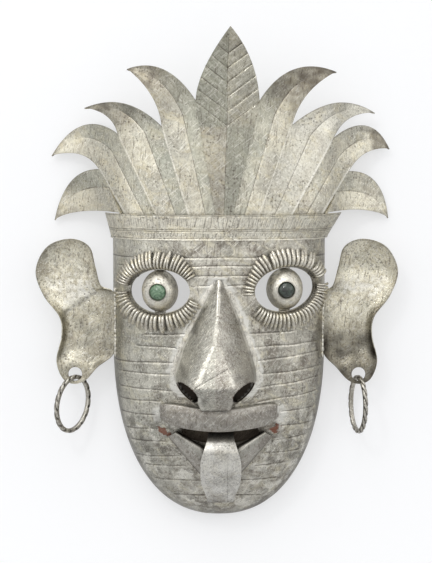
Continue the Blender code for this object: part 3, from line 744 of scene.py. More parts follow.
@dataclass(frozen=True)
class GreenGlass:
    """Pressed green glass: cloudy inside, glossy skin, pale bloom."""

    name: str
    deep: str
    cloud: str
    roughness: float

    def material(self) -> bpy.types.Material:
        """Build the glass of a bead, opaque as the real one looks against its metal cup.

        Returns:
            A material that reads Object coordinates.
        """
        look = bpy.data.materials.new(self.name)
        look.use_nodes = True
        node = partial(add_node, look.node_tree)
        swirl = node("ShaderNodeTexNoise", {
            "Vector": node("ShaderNodeTexCoord", {}, "Object"), "Scale": 1.0 / (5.0 * MM),
            "Detail": 4.0, "Distortion": 1.2})
        share = node("ShaderNodeMapRange", {0: swirl, 1: 0.35, 2: 0.7})
        base = node("ShaderNodeMix", {0: share, 6: linear(self.deep), 7: linear(self.cloud)}, 2, data_type="RGBA")
        shader = look.node_tree.nodes["Principled BSDF"]
        for name, value in (
            ("Roughness", self.roughness), ("IOR", 1.52), ("Coat Weight", 0.6), ("Coat Roughness", 0.06),
        ):
            shader.inputs[name].default_value = value
        look.node_tree.links.new(base, shader.inputs["Base Color"])
        return look


# Silvered sheet cut with shears and creased: the palest metal here, satin, with the inner facet of each crease painted
# grey-green as shade
CROWN_SHEET = SilveredSheet(
    "silvered_sheet_crown", light="dcd7c4", middle="c4c1b3", brown="9f9484", green="a9ac9e", grime="43382e",
    rough_low=0.34, rough_high=0.52, stain_share=0.2, brown_share=0.5)
# Silvered strip punched with short strokes: pale and satin, brightest where its rows were rubbed, with a painted
# highlight along its lower edge
BAND_SHEET = SilveredSheet(
    "silvered_sheet_headband", light="e6e1cf", middle="d2cebf", brown="a89d8c", rough_low=0.34, rough_high=0.52,
    stain_share=0.15)
# Silvered sheet raised with a hammer: its small facets scatter the light, and tarnish blotches it cream and brown
FACE_SHEET = SilveredSheet(
    "silvered_sheet_face", light="dad6c9", middle="aaa79c", cream="d9d2ba", brown_share=0.8, cream_share=0.65,
    stain_share=0.6)
# Silvered sheet bent and scraped: greyer, with streaks, a painted highlight down its ridges and painted shade on its
# right half
NOSE_SHEET = SilveredSheet(
    "silvered_sheet_nose", light="c4c0b6", middle="aca89f", brown="91877d", rough_low=0.35, rough_high=0.50, pits=0.35,
    scratch=0.8, cream_share=0.1, stain_share=0.35)
# Silvered sheet folded and rubbed down to its grey: dark as pewter, with few pits and fine scraping
LIP_SHEET = SilveredSheet(
    "silvered_sheet_lips", light="b0aca4", middle="99958d", brown="7f766d", bright="cfccc4", rough_low=0.32,
    rough_high=0.46, pits=0.2, grain=0.25, scratch=0.7, cream_share=0.05, stain_share=0.3)
# Silvered sheet hammered into a dish: the smoothest metal here, so lamps show as bright patches broken by hammer marks;
# more highlights are painted on its upper lobe, and painted shade on its lower part and by the face
EAR_SHEET = SilveredSheet(
    "silvered_sheet_ears", light="f2ecd6", middle="d8d1ba", brown="9b8f79", rough_low=0.24, rough_high=0.40,
    relief=0.55 * MM, cream_share=0.3, stain_share=0.4, scratch=0.8, grain=0.5)
# Silvered strip bent out over the lip: cool pale grey, with a painted highlight over its bulge
TONGUE_SHEET = SilveredSheet(
    "silvered_sheet_tongue", light="dddbd5", middle="c3c1ba", brown="9a958e", rough_low=0.30, rough_high=0.48, pits=0.6,
    cream_share=0.15, stain_share=0.3)
# Thin silvered strip snipped and rolled: a painted highlight along each curl, and painted shade at the roots and along
# the sides beside the gaps
LASH_STRIP = SilveredSheet(
    "silvered_strip_lashes", light="d4cfc0", middle="bdb8ab", brown="9c9184", rough_low=0.24, rough_high=0.38, pits=0.2,
    stain_share=0.2)
# Silvered sheet domed over a stake: even and satin, with one broad highlight, partly painted over the middle, and a few
# dark specks
EYE_SHEET = SilveredSheet(
    "silvered_sheet_eyeballs", light="e4e0d3", middle="d0cdc2", rough_low=0.40, rough_high=0.52, pits=0.4,
    brown_share=0.3, stain_share=0.0)
# The same sheet with its silvering gone, behind: flat grey-brown with no clear highlight
DULL_SHEET = SilveredSheet(
    "dull_sheet_back", light="a9a596", middle="8f8b7e", brown="716859", rough_low=0.45, rough_high=0.6)
# Sheet behind the mouth, painted dark brown as the shade inside the mouth, and nearly matt
MOUTH_SHADE_SHEET = SilveredSheet(
    "sooty_sheet_mouth", light="7a7064", middle="6b6257", brown="5a5249", cream="7a7064", stain="443d36",
    bright="8a8073", rough_low=0.75, rough_high=0.9, metallic=1.0)
# Silvered wire drawn squarish and notched with a chisel: dark grey, with painted glints on its corners and black cuts
RING_WIRE = SilveredSheet(
    "notched_silvered_wire", light="bab6ac", middle="9f9b92", brown="7b7369", rough_low=0.28, rough_high=0.42,
    pits=0.25, cream_share=0.1, stain_share=0.2)
# Soft solder run on with an iron: pale, duller than silver, in smooth lumps
SOLDER_LEAD = SilveredSheet(
    "soft_solder", light="e4e1d7", middle="d6d3c9", brown="b5b0a6", rough_low=0.42, rough_high=0.58, pits=0.3,
    metallic=0.8, stain_share=0.15)
# Pressed glass, cloudy: milky green under a glossy skin with a small sharp highlight
JADE_GLASS = GreenGlass("green_glass_pale", deep="3f6145", cloud="86a284", roughness=0.14)
# Pressed glass, dark: a green near black that mirrors the lamps more than it shows its own colour
BOTTLE_GLASS = GreenGlass("green_glass_dark", deep="0f1511", cloud="3b4a3e", roughness=0.06)


class Looks:
    """Each finish, built once."""

    _made: dict[str, bpy.types.Material] = {}

    @classmethod
    def of(cls, finish: SilveredSheet | GreenGlass) -> bpy.types.Material:
        """The material of a finish.

        Args:
            finish: The finish.

        Returns:
            Its material, built when it is first asked for.
        """
        if finish.name not in cls._made:
            cls._made[finish.name] = finish.material()
        return cls._made[finish.name]


# Sub-assemblies


@dataclass(frozen=True)
class ChasedLine:
    """One line chased across the face, from its left end to its right end, in millimetres."""

    x0: float
    z0: float
    x1: float
    z1: float

    def below(self, x: Array, z: Array) -> tuple[Array, Array]:
        """Measure places against the line.

        Args:
            x: Places across.
            z: Heights.

        Returns:
            How far they lie below it in millimetres, and its strength there, which fades at its ends.
        """
        length = self.x1 - self.x0
        share = (x / MM - self.x0) / length
        sag = self.z0 + (self.z1 - self.z0) * share
        ends = smooth((share * length + 1.5) / 3.0) * smooth(((1.0 - share) * length + 1.5) / 3.0)
        return sag - z / MM, ends


BROW_LINES = ((-88, -5, 88, -4.5), (-82, -12, 84, -11), (-82, -20, 82, -18.5), (-19, -27, 24.5, -26.5))
LEFT_LINES = (
    (-60, -66.5, -22, -65), (-67, -75.5, -32, -76.5), (-85, -89.5, -34, -88.5), (-81, -97.5, -36, -98),
    (-80, -110.5, -36, -111), (-81, -120.5, -48, -120), (-80, -131.5, -50, -131.5), (-78, -145, -48, -142.5),
    (-72, -155, -41, -152.5), (-71, -168, -32, -165), (-61, -175, -25.5, -173), (-53, -186.5, -13, -185.5),
    (-38, -200, -11, -199),
)
RIGHT_LINES = (
    (23, -64.5, 60, -63.5), (24.5, -75.5, 80, -73.5), (28.5, -86.5, 82, -81.5), (32, -97.5, 82, -94),
    (31, -108.5, 80, -102), (30, -119.5, 80, -114), (48, -129, 76, -127.5), (48, -140.5, 75, -140),
    (44, -152, 70, -150), (34.5, -162.5, 66, -162), (27, -173.5, 56, -171.5), (15, -185.5, 48, -185.5),
    (11.5, -199, 35, -200.5),
)


@dataclass(frozen=True)
class Opening:
    """An elliptical opening in the face."""

    x: float
    z: float
    half_x: float
    half_z: float
    slant: float = 0.0

    def gauge(self, points: Array) -> Array:
        """Measure points against the opening.

        Args:
            points: Rows of points.

        Returns:
            Below 1 inside the opening, 1 on its edge.
        """
        lean = math.radians(self.slant)
        dx, dz = points[:, 0] - self.x, points[:, 2] - self.z
        a = dx * math.cos(lean) + dz * math.sin(lean)
        b = dz * math.cos(lean) - dx * math.sin(lean)
        return np.hypot(a / self.half_x, b / self.half_z)


EYES = {
    Side.LEFT: Opening(-46.8 * MM, -31.8 * MM, 23.8 * MM, 17.2 * MM, 1.0),
    Side.RIGHT: Opening(52.0 * MM, -30.3 * MM, 23.8 * MM, 17.2 * MM, 9.0),
}
MOUTH = Opening(1.0 * MM, -144.0 * MM, 31.0 * MM, 10.0 * MM)


@dataclass
class FacePlate:
    """The face: one raised sheet, chased with lines, with openings for the eyes and the mouth."""

    columns: int = 118
    rows: int = 360
    jaw_share: float = 0.72
    groove: float = 0.25 * MM
    lip: float = 0.32 * MM
    dent: float = 0.22 * MM
    front_y: float = -20.0 * MM
    lines: tuple[ChasedLine, ...] = tuple(ChasedLine(*ends) for ends in (*BROW_LINES, *LEFT_LINES, *RIGHT_LINES))

    def place(self, across: Array, up: Array) -> Array:
        """Points of the plain surface.

        Args:
            across: Shares from left to right.
            up: Shares upward.

        Returns:
            Rows of points.
        """
        low = FACE.cheek_z - (FACE.cheek_z - FACE.chin_z) * np.cos(0.5 * np.pi * np.minimum(up / self.jaw_share, 1.0))
        high = FACE.cheek_z + (FACE.top_z - FACE.cheek_z) * (up - self.jaw_share) / (1.0 - self.jaw_share)
        z = np.where(up < self.jaw_share, low, high)
        turn = np.cos(np.pi * (1.0 - across))
        x = FACE.half_at(z) * np.copysign(np.abs(turn) ** (2.0 / FACE.section_power), turn)
        return xyz(x, FACE.y(x, z), z)

    def chasing(self, x: Array, z: Array) -> tuple[Array, Array, Array]:
        """Relief and masks of the chased lines.

        Args:
            x: Places across.
            z: Heights.

        Returns:
            The relief, the polish and painted highlight of the lines' lips, and the signed millimetres from the nearest
            line.
        """
        relief = np.zeros(len(x))
        polish = np.zeros(len(x))
        away = []
        stray = wobble(xyz(x, 0.0, z), 18.0 * MM, 11.0)
        for line in self.lines:
            below, ends = line.below(x, z)
            below = below + 0.7 * stray
            cut = ridge(below, 0.75) * ends
            edge = ends * np.exp(-np.clip(below - 0.8, 0.0, None) / 2.6) * smooth((below - 0.2) / 0.9)
            relief += self.lip * edge - self.groove * cut
            # The lip below each line gets a painted highlight
            polish = np.maximum(polish, 0.5 * ridge(below - 1.3, 0.8) * ends)
            past = SCORE_REACH * (1.0 - ends)
            away.append(np.where(below > 0.0, below + past, below - past))
        return relief, polish, nearest(away)

    def snap(self, obj: Piece, opening: Opening) -> None:
        """Delete the faces inside an opening and draw its edge onto the ellipse.

        Args:
            obj: The face plate.
            opening: The opening.
        """
        Bench.delete_faces(obj, lambda middles: (opening.gauge(middles) < 1.0) & (middles[:, 1] < self.front_y))
        points = Bench.points(obj)
        gauge = opening.gauge(points)
        rim = Bench.rim(obj)
        rim = rim[(gauge[rim] > 0.6) & (gauge[rim] < 1.4) & (points[rim, 1] < self.front_y)]
        x = opening.x + (points[rim, 0] - opening.x) / gauge[rim]
        z = opening.z + (points[rim, 2] - opening.z) / gauge[rim]
        points[rim] = xyz(x, FACE.y(x, z), z)
        Bench.move(obj, points)

    def build(self) -> None:
        """Model and dress the face plate."""
        obj, across, up = Bench.grid("face_sheet", self.columns, self.rows)
        Bench.lay(obj, self.place(across, up))
        Bench.merge(obj)
        for opening in (*EYES.values(), MOUTH):
            self.snap(obj, opening)
        points = Bench.points(obj)
        x, z = points[:, 0], points[:, 2]
        relief, polish, score = self.chasing(x, z)
        inside = FACE.gauge(x, z)
        fade = 1.0 - smooth((inside - 0.94) / 0.05)
        relief = relief * fade + self.dent * wobble(points, 14.0 * MM, 3.0) * fade
        points += FACE.normal(x, z) * relief[:, None] * (inside < 0.985)[:, None]
        Bench.move(obj, points)
        self.wear(obj, points, inside, polish, score)
        Bench.thicken(obj, SHEET)
        Bench.shade(obj, 50.0)
        Bench.hang(obj, MASK_BODY, "silvered_sheet", Looks.of(FACE_SHEET), "face_plate")

    def wear(self, obj: Piece, points: Array, inside: Array, polish: Array, score: Array) -> None:
        """Paint the solder, bare copper, dirt, rubbing, painted shade and painted highlights of the face.

        Args:
            obj: The face plate.
            points: Its points.
            inside: Where they lie, from 0 at the middle of the face to 1 on its outline.
            polish: Polish and painted highlight of the chased lines.
            score: Signed millimetres from the nearest chased line.
        """
        x, z = points[:, 0], points[:, 2]
        lumps = wobble(points, 5.0 * MM, 8.0)
        # Soft solder run over the sheet beside the nose and at the ends of the upper lip
        nose = NOSE.beside(x, z)
        solder = 0.9 * smooth((11.0 * MM - nose + 2.5 * MM * lumps) / (6.0 * MM)) * (z > NOSE.bottom_z + 6.0 * MM)
        for lip_x in (-48.5 * MM, 49.0 * MM):
            away = np.hypot(x - lip_x, (z + 131.0 * MM) / 1.7) + 1.6 * MM * lumps
            solder = np.maximum(solder, 0.85 * smooth((8.0 * MM - away) / (6.0 * MM)))
        copper = np.zeros(len(x))
        chips = wobble(points, 2.4 * MM, 17.0)
        for spot_x, spot_z, lean in ((-44.0 * MM, -145.2 * MM, -0.35), (45.0 * MM, -142.7 * MM, 0.5)):
            dx, dz = x - spot_x, z - spot_z - lean * (x - spot_x)
            away = np.hypot(dx / 1.6, dz) + 2.4 * MM * chips
            copper = np.maximum(copper, smooth((3.9 * MM - away) / (1.6 * MM)))
        # Painted shade: the turned-back border below the cheeks is darkened, and so is what lies inside the nose and
        # between the lips
        border = 0.5 * smooth((inside - 0.93) / 0.04) * smooth((-80.0 * MM - z) / (40.0 * MM))
        out = np.abs(x - MOUTH.x)
        lip_z = -143.2 * MM - 15.3 * MM * (34.5 * MM - out) / (26.0 * MM)
        between = smooth((z - lip_z + 2.5 * MM) / (2.0 * MM)) * smooth((-132.0 * MM - z) / (3.0 * MM))
        between = between * smooth((35.0 * MM - out) / (3.0 * MM))
        hidden = np.maximum(NOSE.inside(x, z), 0.72 * between)
        # Painted shade in patches beside the lines, a duller chin with flakes and spots, and one rubbed patch on it
        line_shade = np.exp(-np.abs(score) / 1.6) * smooth((wobble(points, 9.0 * MM, 23.0) + 0.25) / 0.5)
        low = smooth((-120.0 * MM - z) / (70.0 * MM)) * (0.8 + 0.9 * wobble(points, 16.0 * MM, 27.0) + 0.5 * lumps)
        patch = np.hypot((x + 27.4 * MM) / 1.4, z + 180.4 * MM) + 2.0 * MM * lumps
        chin = smooth((-105.0 * MM - z) / (40.0 * MM))
        flake = chin * smooth((wobble(points, 8.0 * MM, 41.0) + 0.3 * lumps - 0.10) / 0.14)
        spot = chin * smooth((wobble(points, 6.0 * MM, 47.0) + 0.3 * lumps - 0.14) / 0.14)
        # Bright flakes on the chin, and a painted reflection: a pale band along the brow under the headband
        polish = np.maximum.reduce([polish, 0.62 * flake, 0.2 * smooth((z + 5.0 * MM) / (4.0 * MM))])
        polish = np.maximum(polish, 0.8 * smooth((6.0 * MM - patch) / (3.0 * MM)))
        Bench.paint(
            obj, grime=np.maximum.reduce([border, hidden, 0.30 * line_shade, 0.26 * low, 0.42 * spot]), solder=solder,
            copper=copper, score=score, tint=0.35 * smooth((-x - 10.0 * MM) / (60.0 * MM)), polish=polish,
        )


@dataclass
class Headband:
    """The flaring strip round the brow, tooled with two rows of short strokes."""

    columns: int = 560
    rows: int = 40
    strokes: int = 84
    pitch: float = 3.0
    groove: float = 0.18 * MM
    lines: tuple[float, ...] = (0.06, 0.34, 0.42, 0.955)

    def build(self) -> None:
        """Model and dress the headband."""
        masks: dict[str, Array] = {}
        obj, across, up = Bench.grid("headband_strip", self.columns, self.rows)
        z = CROWN.bottom_z + CROWN.height * up
        plain = CROWN.band(across, z, SHEET)
        lean = wobble(plain, 9.0 * MM, 5.0)
        beat = across * self.strokes + 0.3 * lean
        phase = beat % 1.0 - 0.5
        number = np.floor(beat)
        jitter = np.sin(number * 12.9898) * 0.04
        row = ((up > 0.50 + jitter) & (up < 0.88 - jitter)) | ((up > 0.13 + jitter) & (up < 0.28 + 0.5 * jitter))
        stroke = ridge(phase, 0.20) * row
        levels = nearest([(up - level + 0.012 * lean) * CROWN.height / MM for level in self.lines])
        faint = 0.26 + 0.20 * np.sin(number * 78.233) + np.where(up > 0.4, 0.06, -0.02) - 0.2 * lean
        signed = np.copysign(np.abs(phase) * self.pitch + faint, phase)
        levels = np.copysign(np.abs(levels) + 0.16, levels)
        masks["score"] = nearest([levels, np.where(row, signed, np.copysign(SCORE_REACH, phase))])
        # Painted highlight along the rolled lower edge, and the rows of strokes rubbed brighter
        masks["polish"] = 0.6 * ridge((up - 0.02) * CROWN.height, 0.7 * MM) + 0.38 * row
        masks["grime"] = 0.18 * smooth((lean - 0.2) / 0.3) * row
        proud = SHEET - self.groove * np.clip(stroke + ridge(levels, 0.5), 0.0, 1.0)
        Bench.lay(obj, CROWN.band(across, z, proud + 0.5 * MM * smooth((0.10 - up) / 0.08) + 0.15 * MM * lean))
        Bench.paint(obj, **masks)
        Bench.thicken(obj, 0.9 * SHEET)
        Bench.shade(obj, 60.0)
        Bench.hang(obj, MASK_BODY, "silvered_sheet", Looks.of(BAND_SHEET), "headband")


@dataclass(frozen=True)
class Edge:
    """One long edge of a blade: root, notch and swell, in the plane of the crown."""

    root: tuple[float, float]
    notch: tuple[float, float]
    swell: tuple[float, float]

    def at(self, up: Array, tip: tuple[float, float]) -> Array:
        """Points of the edge.

        Args:
            up: Shares of the way from the root to the tip.
            tip: The blade's tip.

        Returns:
            Rows of points in the plane of the crown.
        """
        root, notch, swell, end = (np.array(p) for p in (self.root, self.notch, self.swell, tip))
        straight = root + (notch - root) * np.minimum(up / FREE_FROM, 1.0)[:, None]
        t = np.clip((up - FREE_FROM) / (1.0 - FREE_FROM), 0.0, 1.0)[:, None]
        handle = 2.0 * swell - (notch + end) / 2.0
        curve = (1 - t) ** 2 * notch + 2 * t * (1 - t) * handle + t ** 2 * end
        return np.where((up <= FREE_FROM)[:, None], straight, curve)


@dataclass(frozen=True)
class Tarnish:
    """How a blade looks: painted shade on its inner facet, tarnish, a stain from one height to another, and rubbing."""

    film: float = 0.5
    tarnish: float = 0.0
    stain: float = 0.0
    stain_from: float = 0.74
    stain_to: float = 2.0
    rub: float = 0.0


@dataclass
class Blade:
    """A leaf or feather blade of the crown, creased along its rib."""

    name: str
    node: str
    inner: Edge
    outer: Edge
    tip: tuple[float, float]
    leaf: bool = False
    rib: float = 0.45
    crease: float = 1.6 * MM
    layer_step: float = 1.9 * MM
    age: Tarnish = Tarnish()
    columns: int = 34
    rows: int = 110
    seed: float = 1.0

    def veins(self, x: Array, z: Array, middle: Array) -> tuple[Array, Array, Array]:
        """Chevron veins of the leaf.

        Args:
            x: Places across.
            z: Heights.
            middle: Where the leaf's middle line runs beside each place.

        Returns:
            Their relief, the signed millimetres from the nearest vein, and their painted highlight.
        """
        out = x - middle
        rise = (z - 98.5 * MM) - 0.74 * np.abs(out)
        step = 11.2 * MM
        inside = smooth((rise + 1.2 * MM) / (0.8 * MM)) * smooth((167.0 * MM - z) / (4.0 * MM))
        saw = (rise / step) % 1.0
        signed = np.where(saw < 0.5, saw, saw - 1.0) * step / MM
        signed = np.where(inside > 0.5, signed, np.copysign(SCORE_REACH, signed))
        slant = (saw - 0.5) * inside * np.where(out > 0.0, 0.75, 0.25) * MM
        # Painted highlight on one slope of each chevron, stronger on the right half
        painted_highlight = np.where(out > 0.0, 0.5, 0.15) * smooth((saw - 0.45) / 0.35) * inside
        return slant - 0.3 * MM * ridge(signed, 0.8), signed, painted_highlight

    def build(self) -> None:
        """Model and dress the blade."""
        masks: dict[str, Array] = {}
        obj, across, up = Bench.grid(self.name, self.columns, self.rows)
        inner = self.inner.at(up, self.tip)
        outer = self.outer.at(up, self.tip)
        flat = inner + (outer - inner) * across[:, None]
        x, z = flat[:, 0], flat[:, 1]
        width = np.linalg.norm(outer - inner, axis=1)
        layer = np.ones(len(x)) if self.leaf else np.clip((across - 0.2) / 0.6, 0.0, 1.0)
        depth = (1.0 - layer) * self.layer_step * CROWN.stretch(x, z)
        slope = np.where(across < self.rib, across / self.rib, (1.0 - across) / (1.0 - self.rib))
        fold = self.crease * slope * smooth(2.6 * (1.0 - up)) * smooth(3.0 * up - 0.3)
        from_rib = (across - self.rib) * width
        points = xyz(x, 0.0, z)
        dents = wobble(points, 16.0 * MM, self.seed)
        flecks = wobble(points, 5.0 * MM, self.seed + 3.0)
        # The rib is cut from the root to the blade's middle and fades before the tip
        fading, end = (14.0, 0.93) if self.leaf else (6.0, 0.74)
        ribbed = smooth(fading * (end - up)) * smooth(20.0 * up)
        cut = ridge(from_rib, 0.70 * MM) * ribbed
        faint = 0.12 + 0.15 * (1.0 + dents) + SCORE_REACH * (1.0 - ribbed)
        masks["score"] = np.copysign(np.abs(from_rib) / MM + faint, from_rib)
        edge = np.minimum(across, 1.0 - across) * width
        relief = 0.30 * MM * cut + 0.25 * MM * dents * smooth(edge / (4.0 * MM))
        facet = 1.0 - smooth((from_rib + 0.6 * MM) / (1.2 * MM))
        age = self.age
        # The inner facet of the crease takes the grey-green tint as painted shade
        masks["tint"] = (age.film + 0.3 * dents) * facet * smooth(5.0 * (0.80 - up))
        ragged = 0.14 * dents + 0.16 * flecks
        masks["grime"] = np.maximum.reduce([
            0.40 * smooth((0.8 * MM - edge) / (0.7 * MM)) * (up > FREE_FROM),
            0.25 * smooth((CROWN.top_z + 3.0 * MM - z) / (3.0 * MM)),
            age.tarnish * smooth((up - 0.30) / 0.3) * (0.9 + 0.6 * dents + 0.3 * flecks),
            age.stain * smooth((up - age.stain_from + ragged) / 0.24)
            * smooth((age.stain_to - up - ragged) / 0.12) * (0.92 + 0.3 * flecks),
        ])
        # Painted highlight along the raised outer edge of each feather, where it lies over the next one
        shoulder = ridge((1.0 - across) * width - 0.9 * MM, 0.7 * MM) * (up < 0.40) * (not self.leaf)
        masks["polish"] = 0.75 * shoulder + age.rub * (0.6 + 0.5 * dents)
        if self.leaf:
            middle = (inner[:, 0] + outer[:, 0]) / 2.0
            veins, signed, painted_highlight = self.veins(x, z, middle)
            relief -= veins
            masks["score"] = nearest([signed, masks["score"]])
            masks["polish"] = painted_highlight * (0.75 + 0.4 * dents)
            upper = smooth((z - 96.0 * MM) / (3.0 * MM))
            masks["grime"] = np.maximum(masks["grime"], 0.30 + 0.14 * dents + 0.10 * flecks)
            masks["tint"] = np.where(across < 0.5, 0.75 * upper, 0.35 * upper + 0.7 * (1.0 - upper))
        Bench.lay(obj, xyz(x, CROWN.y(x, z) + depth + fold + relief, z))
        Bench.paint(obj, **masks)
        Bench.merge(obj)
        Bench.thicken(obj, SHEET)
        Bench.shade(obj, 45.0)
        Bench.hang(obj, MASK_BODY, "silvered_sheet", Looks.of(CROWN_SHEET), self.node)


@dataclass
class Crown:
    """One leaf and four overlapping feather blades a side, rooted behind the headband."""

    root_z: float = 17.5 * MM
    root_pitch: float = 23.5 * MM
    root_end: float = 81.0 * MM
    leaf_root: float = 3.0 * MM
    lap: float = 1.2 * MM
    lift: float = 0.8 * MM
    leaf_tip: tuple[float, float] = (0.0088, 0.1754)

    SWELLS = {Side.LEFT: (-0.0121, 0.1413), Side.RIGHT: (0.0255, 0.1474)}
    NOTCHES = {Side.LEFT: (-0.0171, 0.1144), Side.RIGHT: (0.0306, 0.1140)}
    RIBS = {Side.LEFT: 0.42, Side.RIGHT: 0.5}
    # Each blade outward from the leaf
    TARNISH = {
        Side.LEFT: (
            Tarnish(0.5, 0.42, 0.66, 0.58), Tarnish(0.5, 0.42, 0.66, 0.66),
            Tarnish(0.35, 0.08, 0.20, 0.85, rub=0.15), Tarnish(0.45, 0.26, 0.32, 0.70)),
        Side.RIGHT: (
            Tarnish(0.4, 0.80, 0.66, 0.50), Tarnish(0.0, 0.0, 0.50, 0.88, rub=0.65),
            Tarnish(0.0, 0.0, 0.74, 0.64, rub=0.35), Tarnish(0.1, 0.0, 0.70, 0.37, 0.54, rub=0.1)),
    }
    # Each blade outward from the leaf: tip, swell of the upper edge, swell of the lower edge, notch below it
    BLADES = {
        Side.LEFT: (
            ((-0.0721, 0.1431), (-0.0420, 0.1414), (-0.0523, 0.1207), (-0.0435, 0.0951)),
            ((-0.1085, 0.1136), (-0.0739, 0.1156), (-0.0887, 0.1057), (-0.0785, 0.0895)),
            ((-0.1368, 0.0752), (-0.1091, 0.0997), (-0.1128, 0.0760), (-0.0955, 0.0639)),
            ((-0.1351, 0.0226), (-0.1199, 0.0552), (-0.1130, 0.0297), None),
        ),
        Side.RIGHT: (
            ((0.0926, 0.1413), (0.0567, 0.1415), (0.0687, 0.1224), (0.0554, 0.0963)),
            ((0.1264, 0.1098), (0.0917, 0.1165), (0.1034, 0.1039), (0.0884, 0.0853)),
            ((0.1392, 0.0808), (0.1178, 0.0994), (0.1194, 0.0772), (0.1036, 0.0623)),
            ((0.1391, 0.0243), (0.1274, 0.0544), (0.1180, 0.0310), None),
        ),
    }

    def leaf_edge(self, side: Side) -> Edge:
        """Edge of the middle leaf.

        Args:
            side: Side of the edge.

        Returns:
            The edge.
        """
        notch = self.NOTCHES[side]
        root = CROWN.axis_x + side.value * (self.leaf_root + self.lap)
        return Edge((root, self.root_z), (notch[0] + side.value * self.lap, notch[1]), self.SWELLS[side])

    def build(self) -> None:
        """Model and dress the leaf and the eight feathers."""
        Blade(
            "crown_leaf_blade", "crown_leaf", self.leaf_edge(Side.LEFT), self.leaf_edge(Side.RIGHT), self.leaf_tip,
            leaf=True, rib=0.5, columns=90, rows=200, age=Tarnish(tarnish=0.38),
        ).build()
        for side in Side:
            sign = side.value
            root = CROWN.axis_x + sign * self.leaf_root
            notch = self.NOTCHES[side]
            for number, (tip, upper, lower, below) in enumerate(self.BLADES[side], 1):
                inner = Edge((root - sign * self.lap, self.root_z), (notch[0] - sign * self.lap, notch[1]), upper)
                if below is None:
                    root = CROWN.axis_x + sign * self.root_end
                    outer = Edge((root, self.root_z), (root, CROWN.top_z + self.lift), lower)
                else:
                    root = CROWN.axis_x + sign * number * self.root_pitch
                    notch = below
                    outer = Edge((root + sign * self.lap, self.root_z), (notch[0] + sign * self.lap, notch[1]), lower)
                Blade(
                    f"feather_blade_{side.word}_{number}", f"feather_{side.word}_{number}", inner, outer, tip,
                    rib=self.RIBS[side], seed=7.0 * number + sign, age=self.TARNISH[side][number - 1],
                ).build()


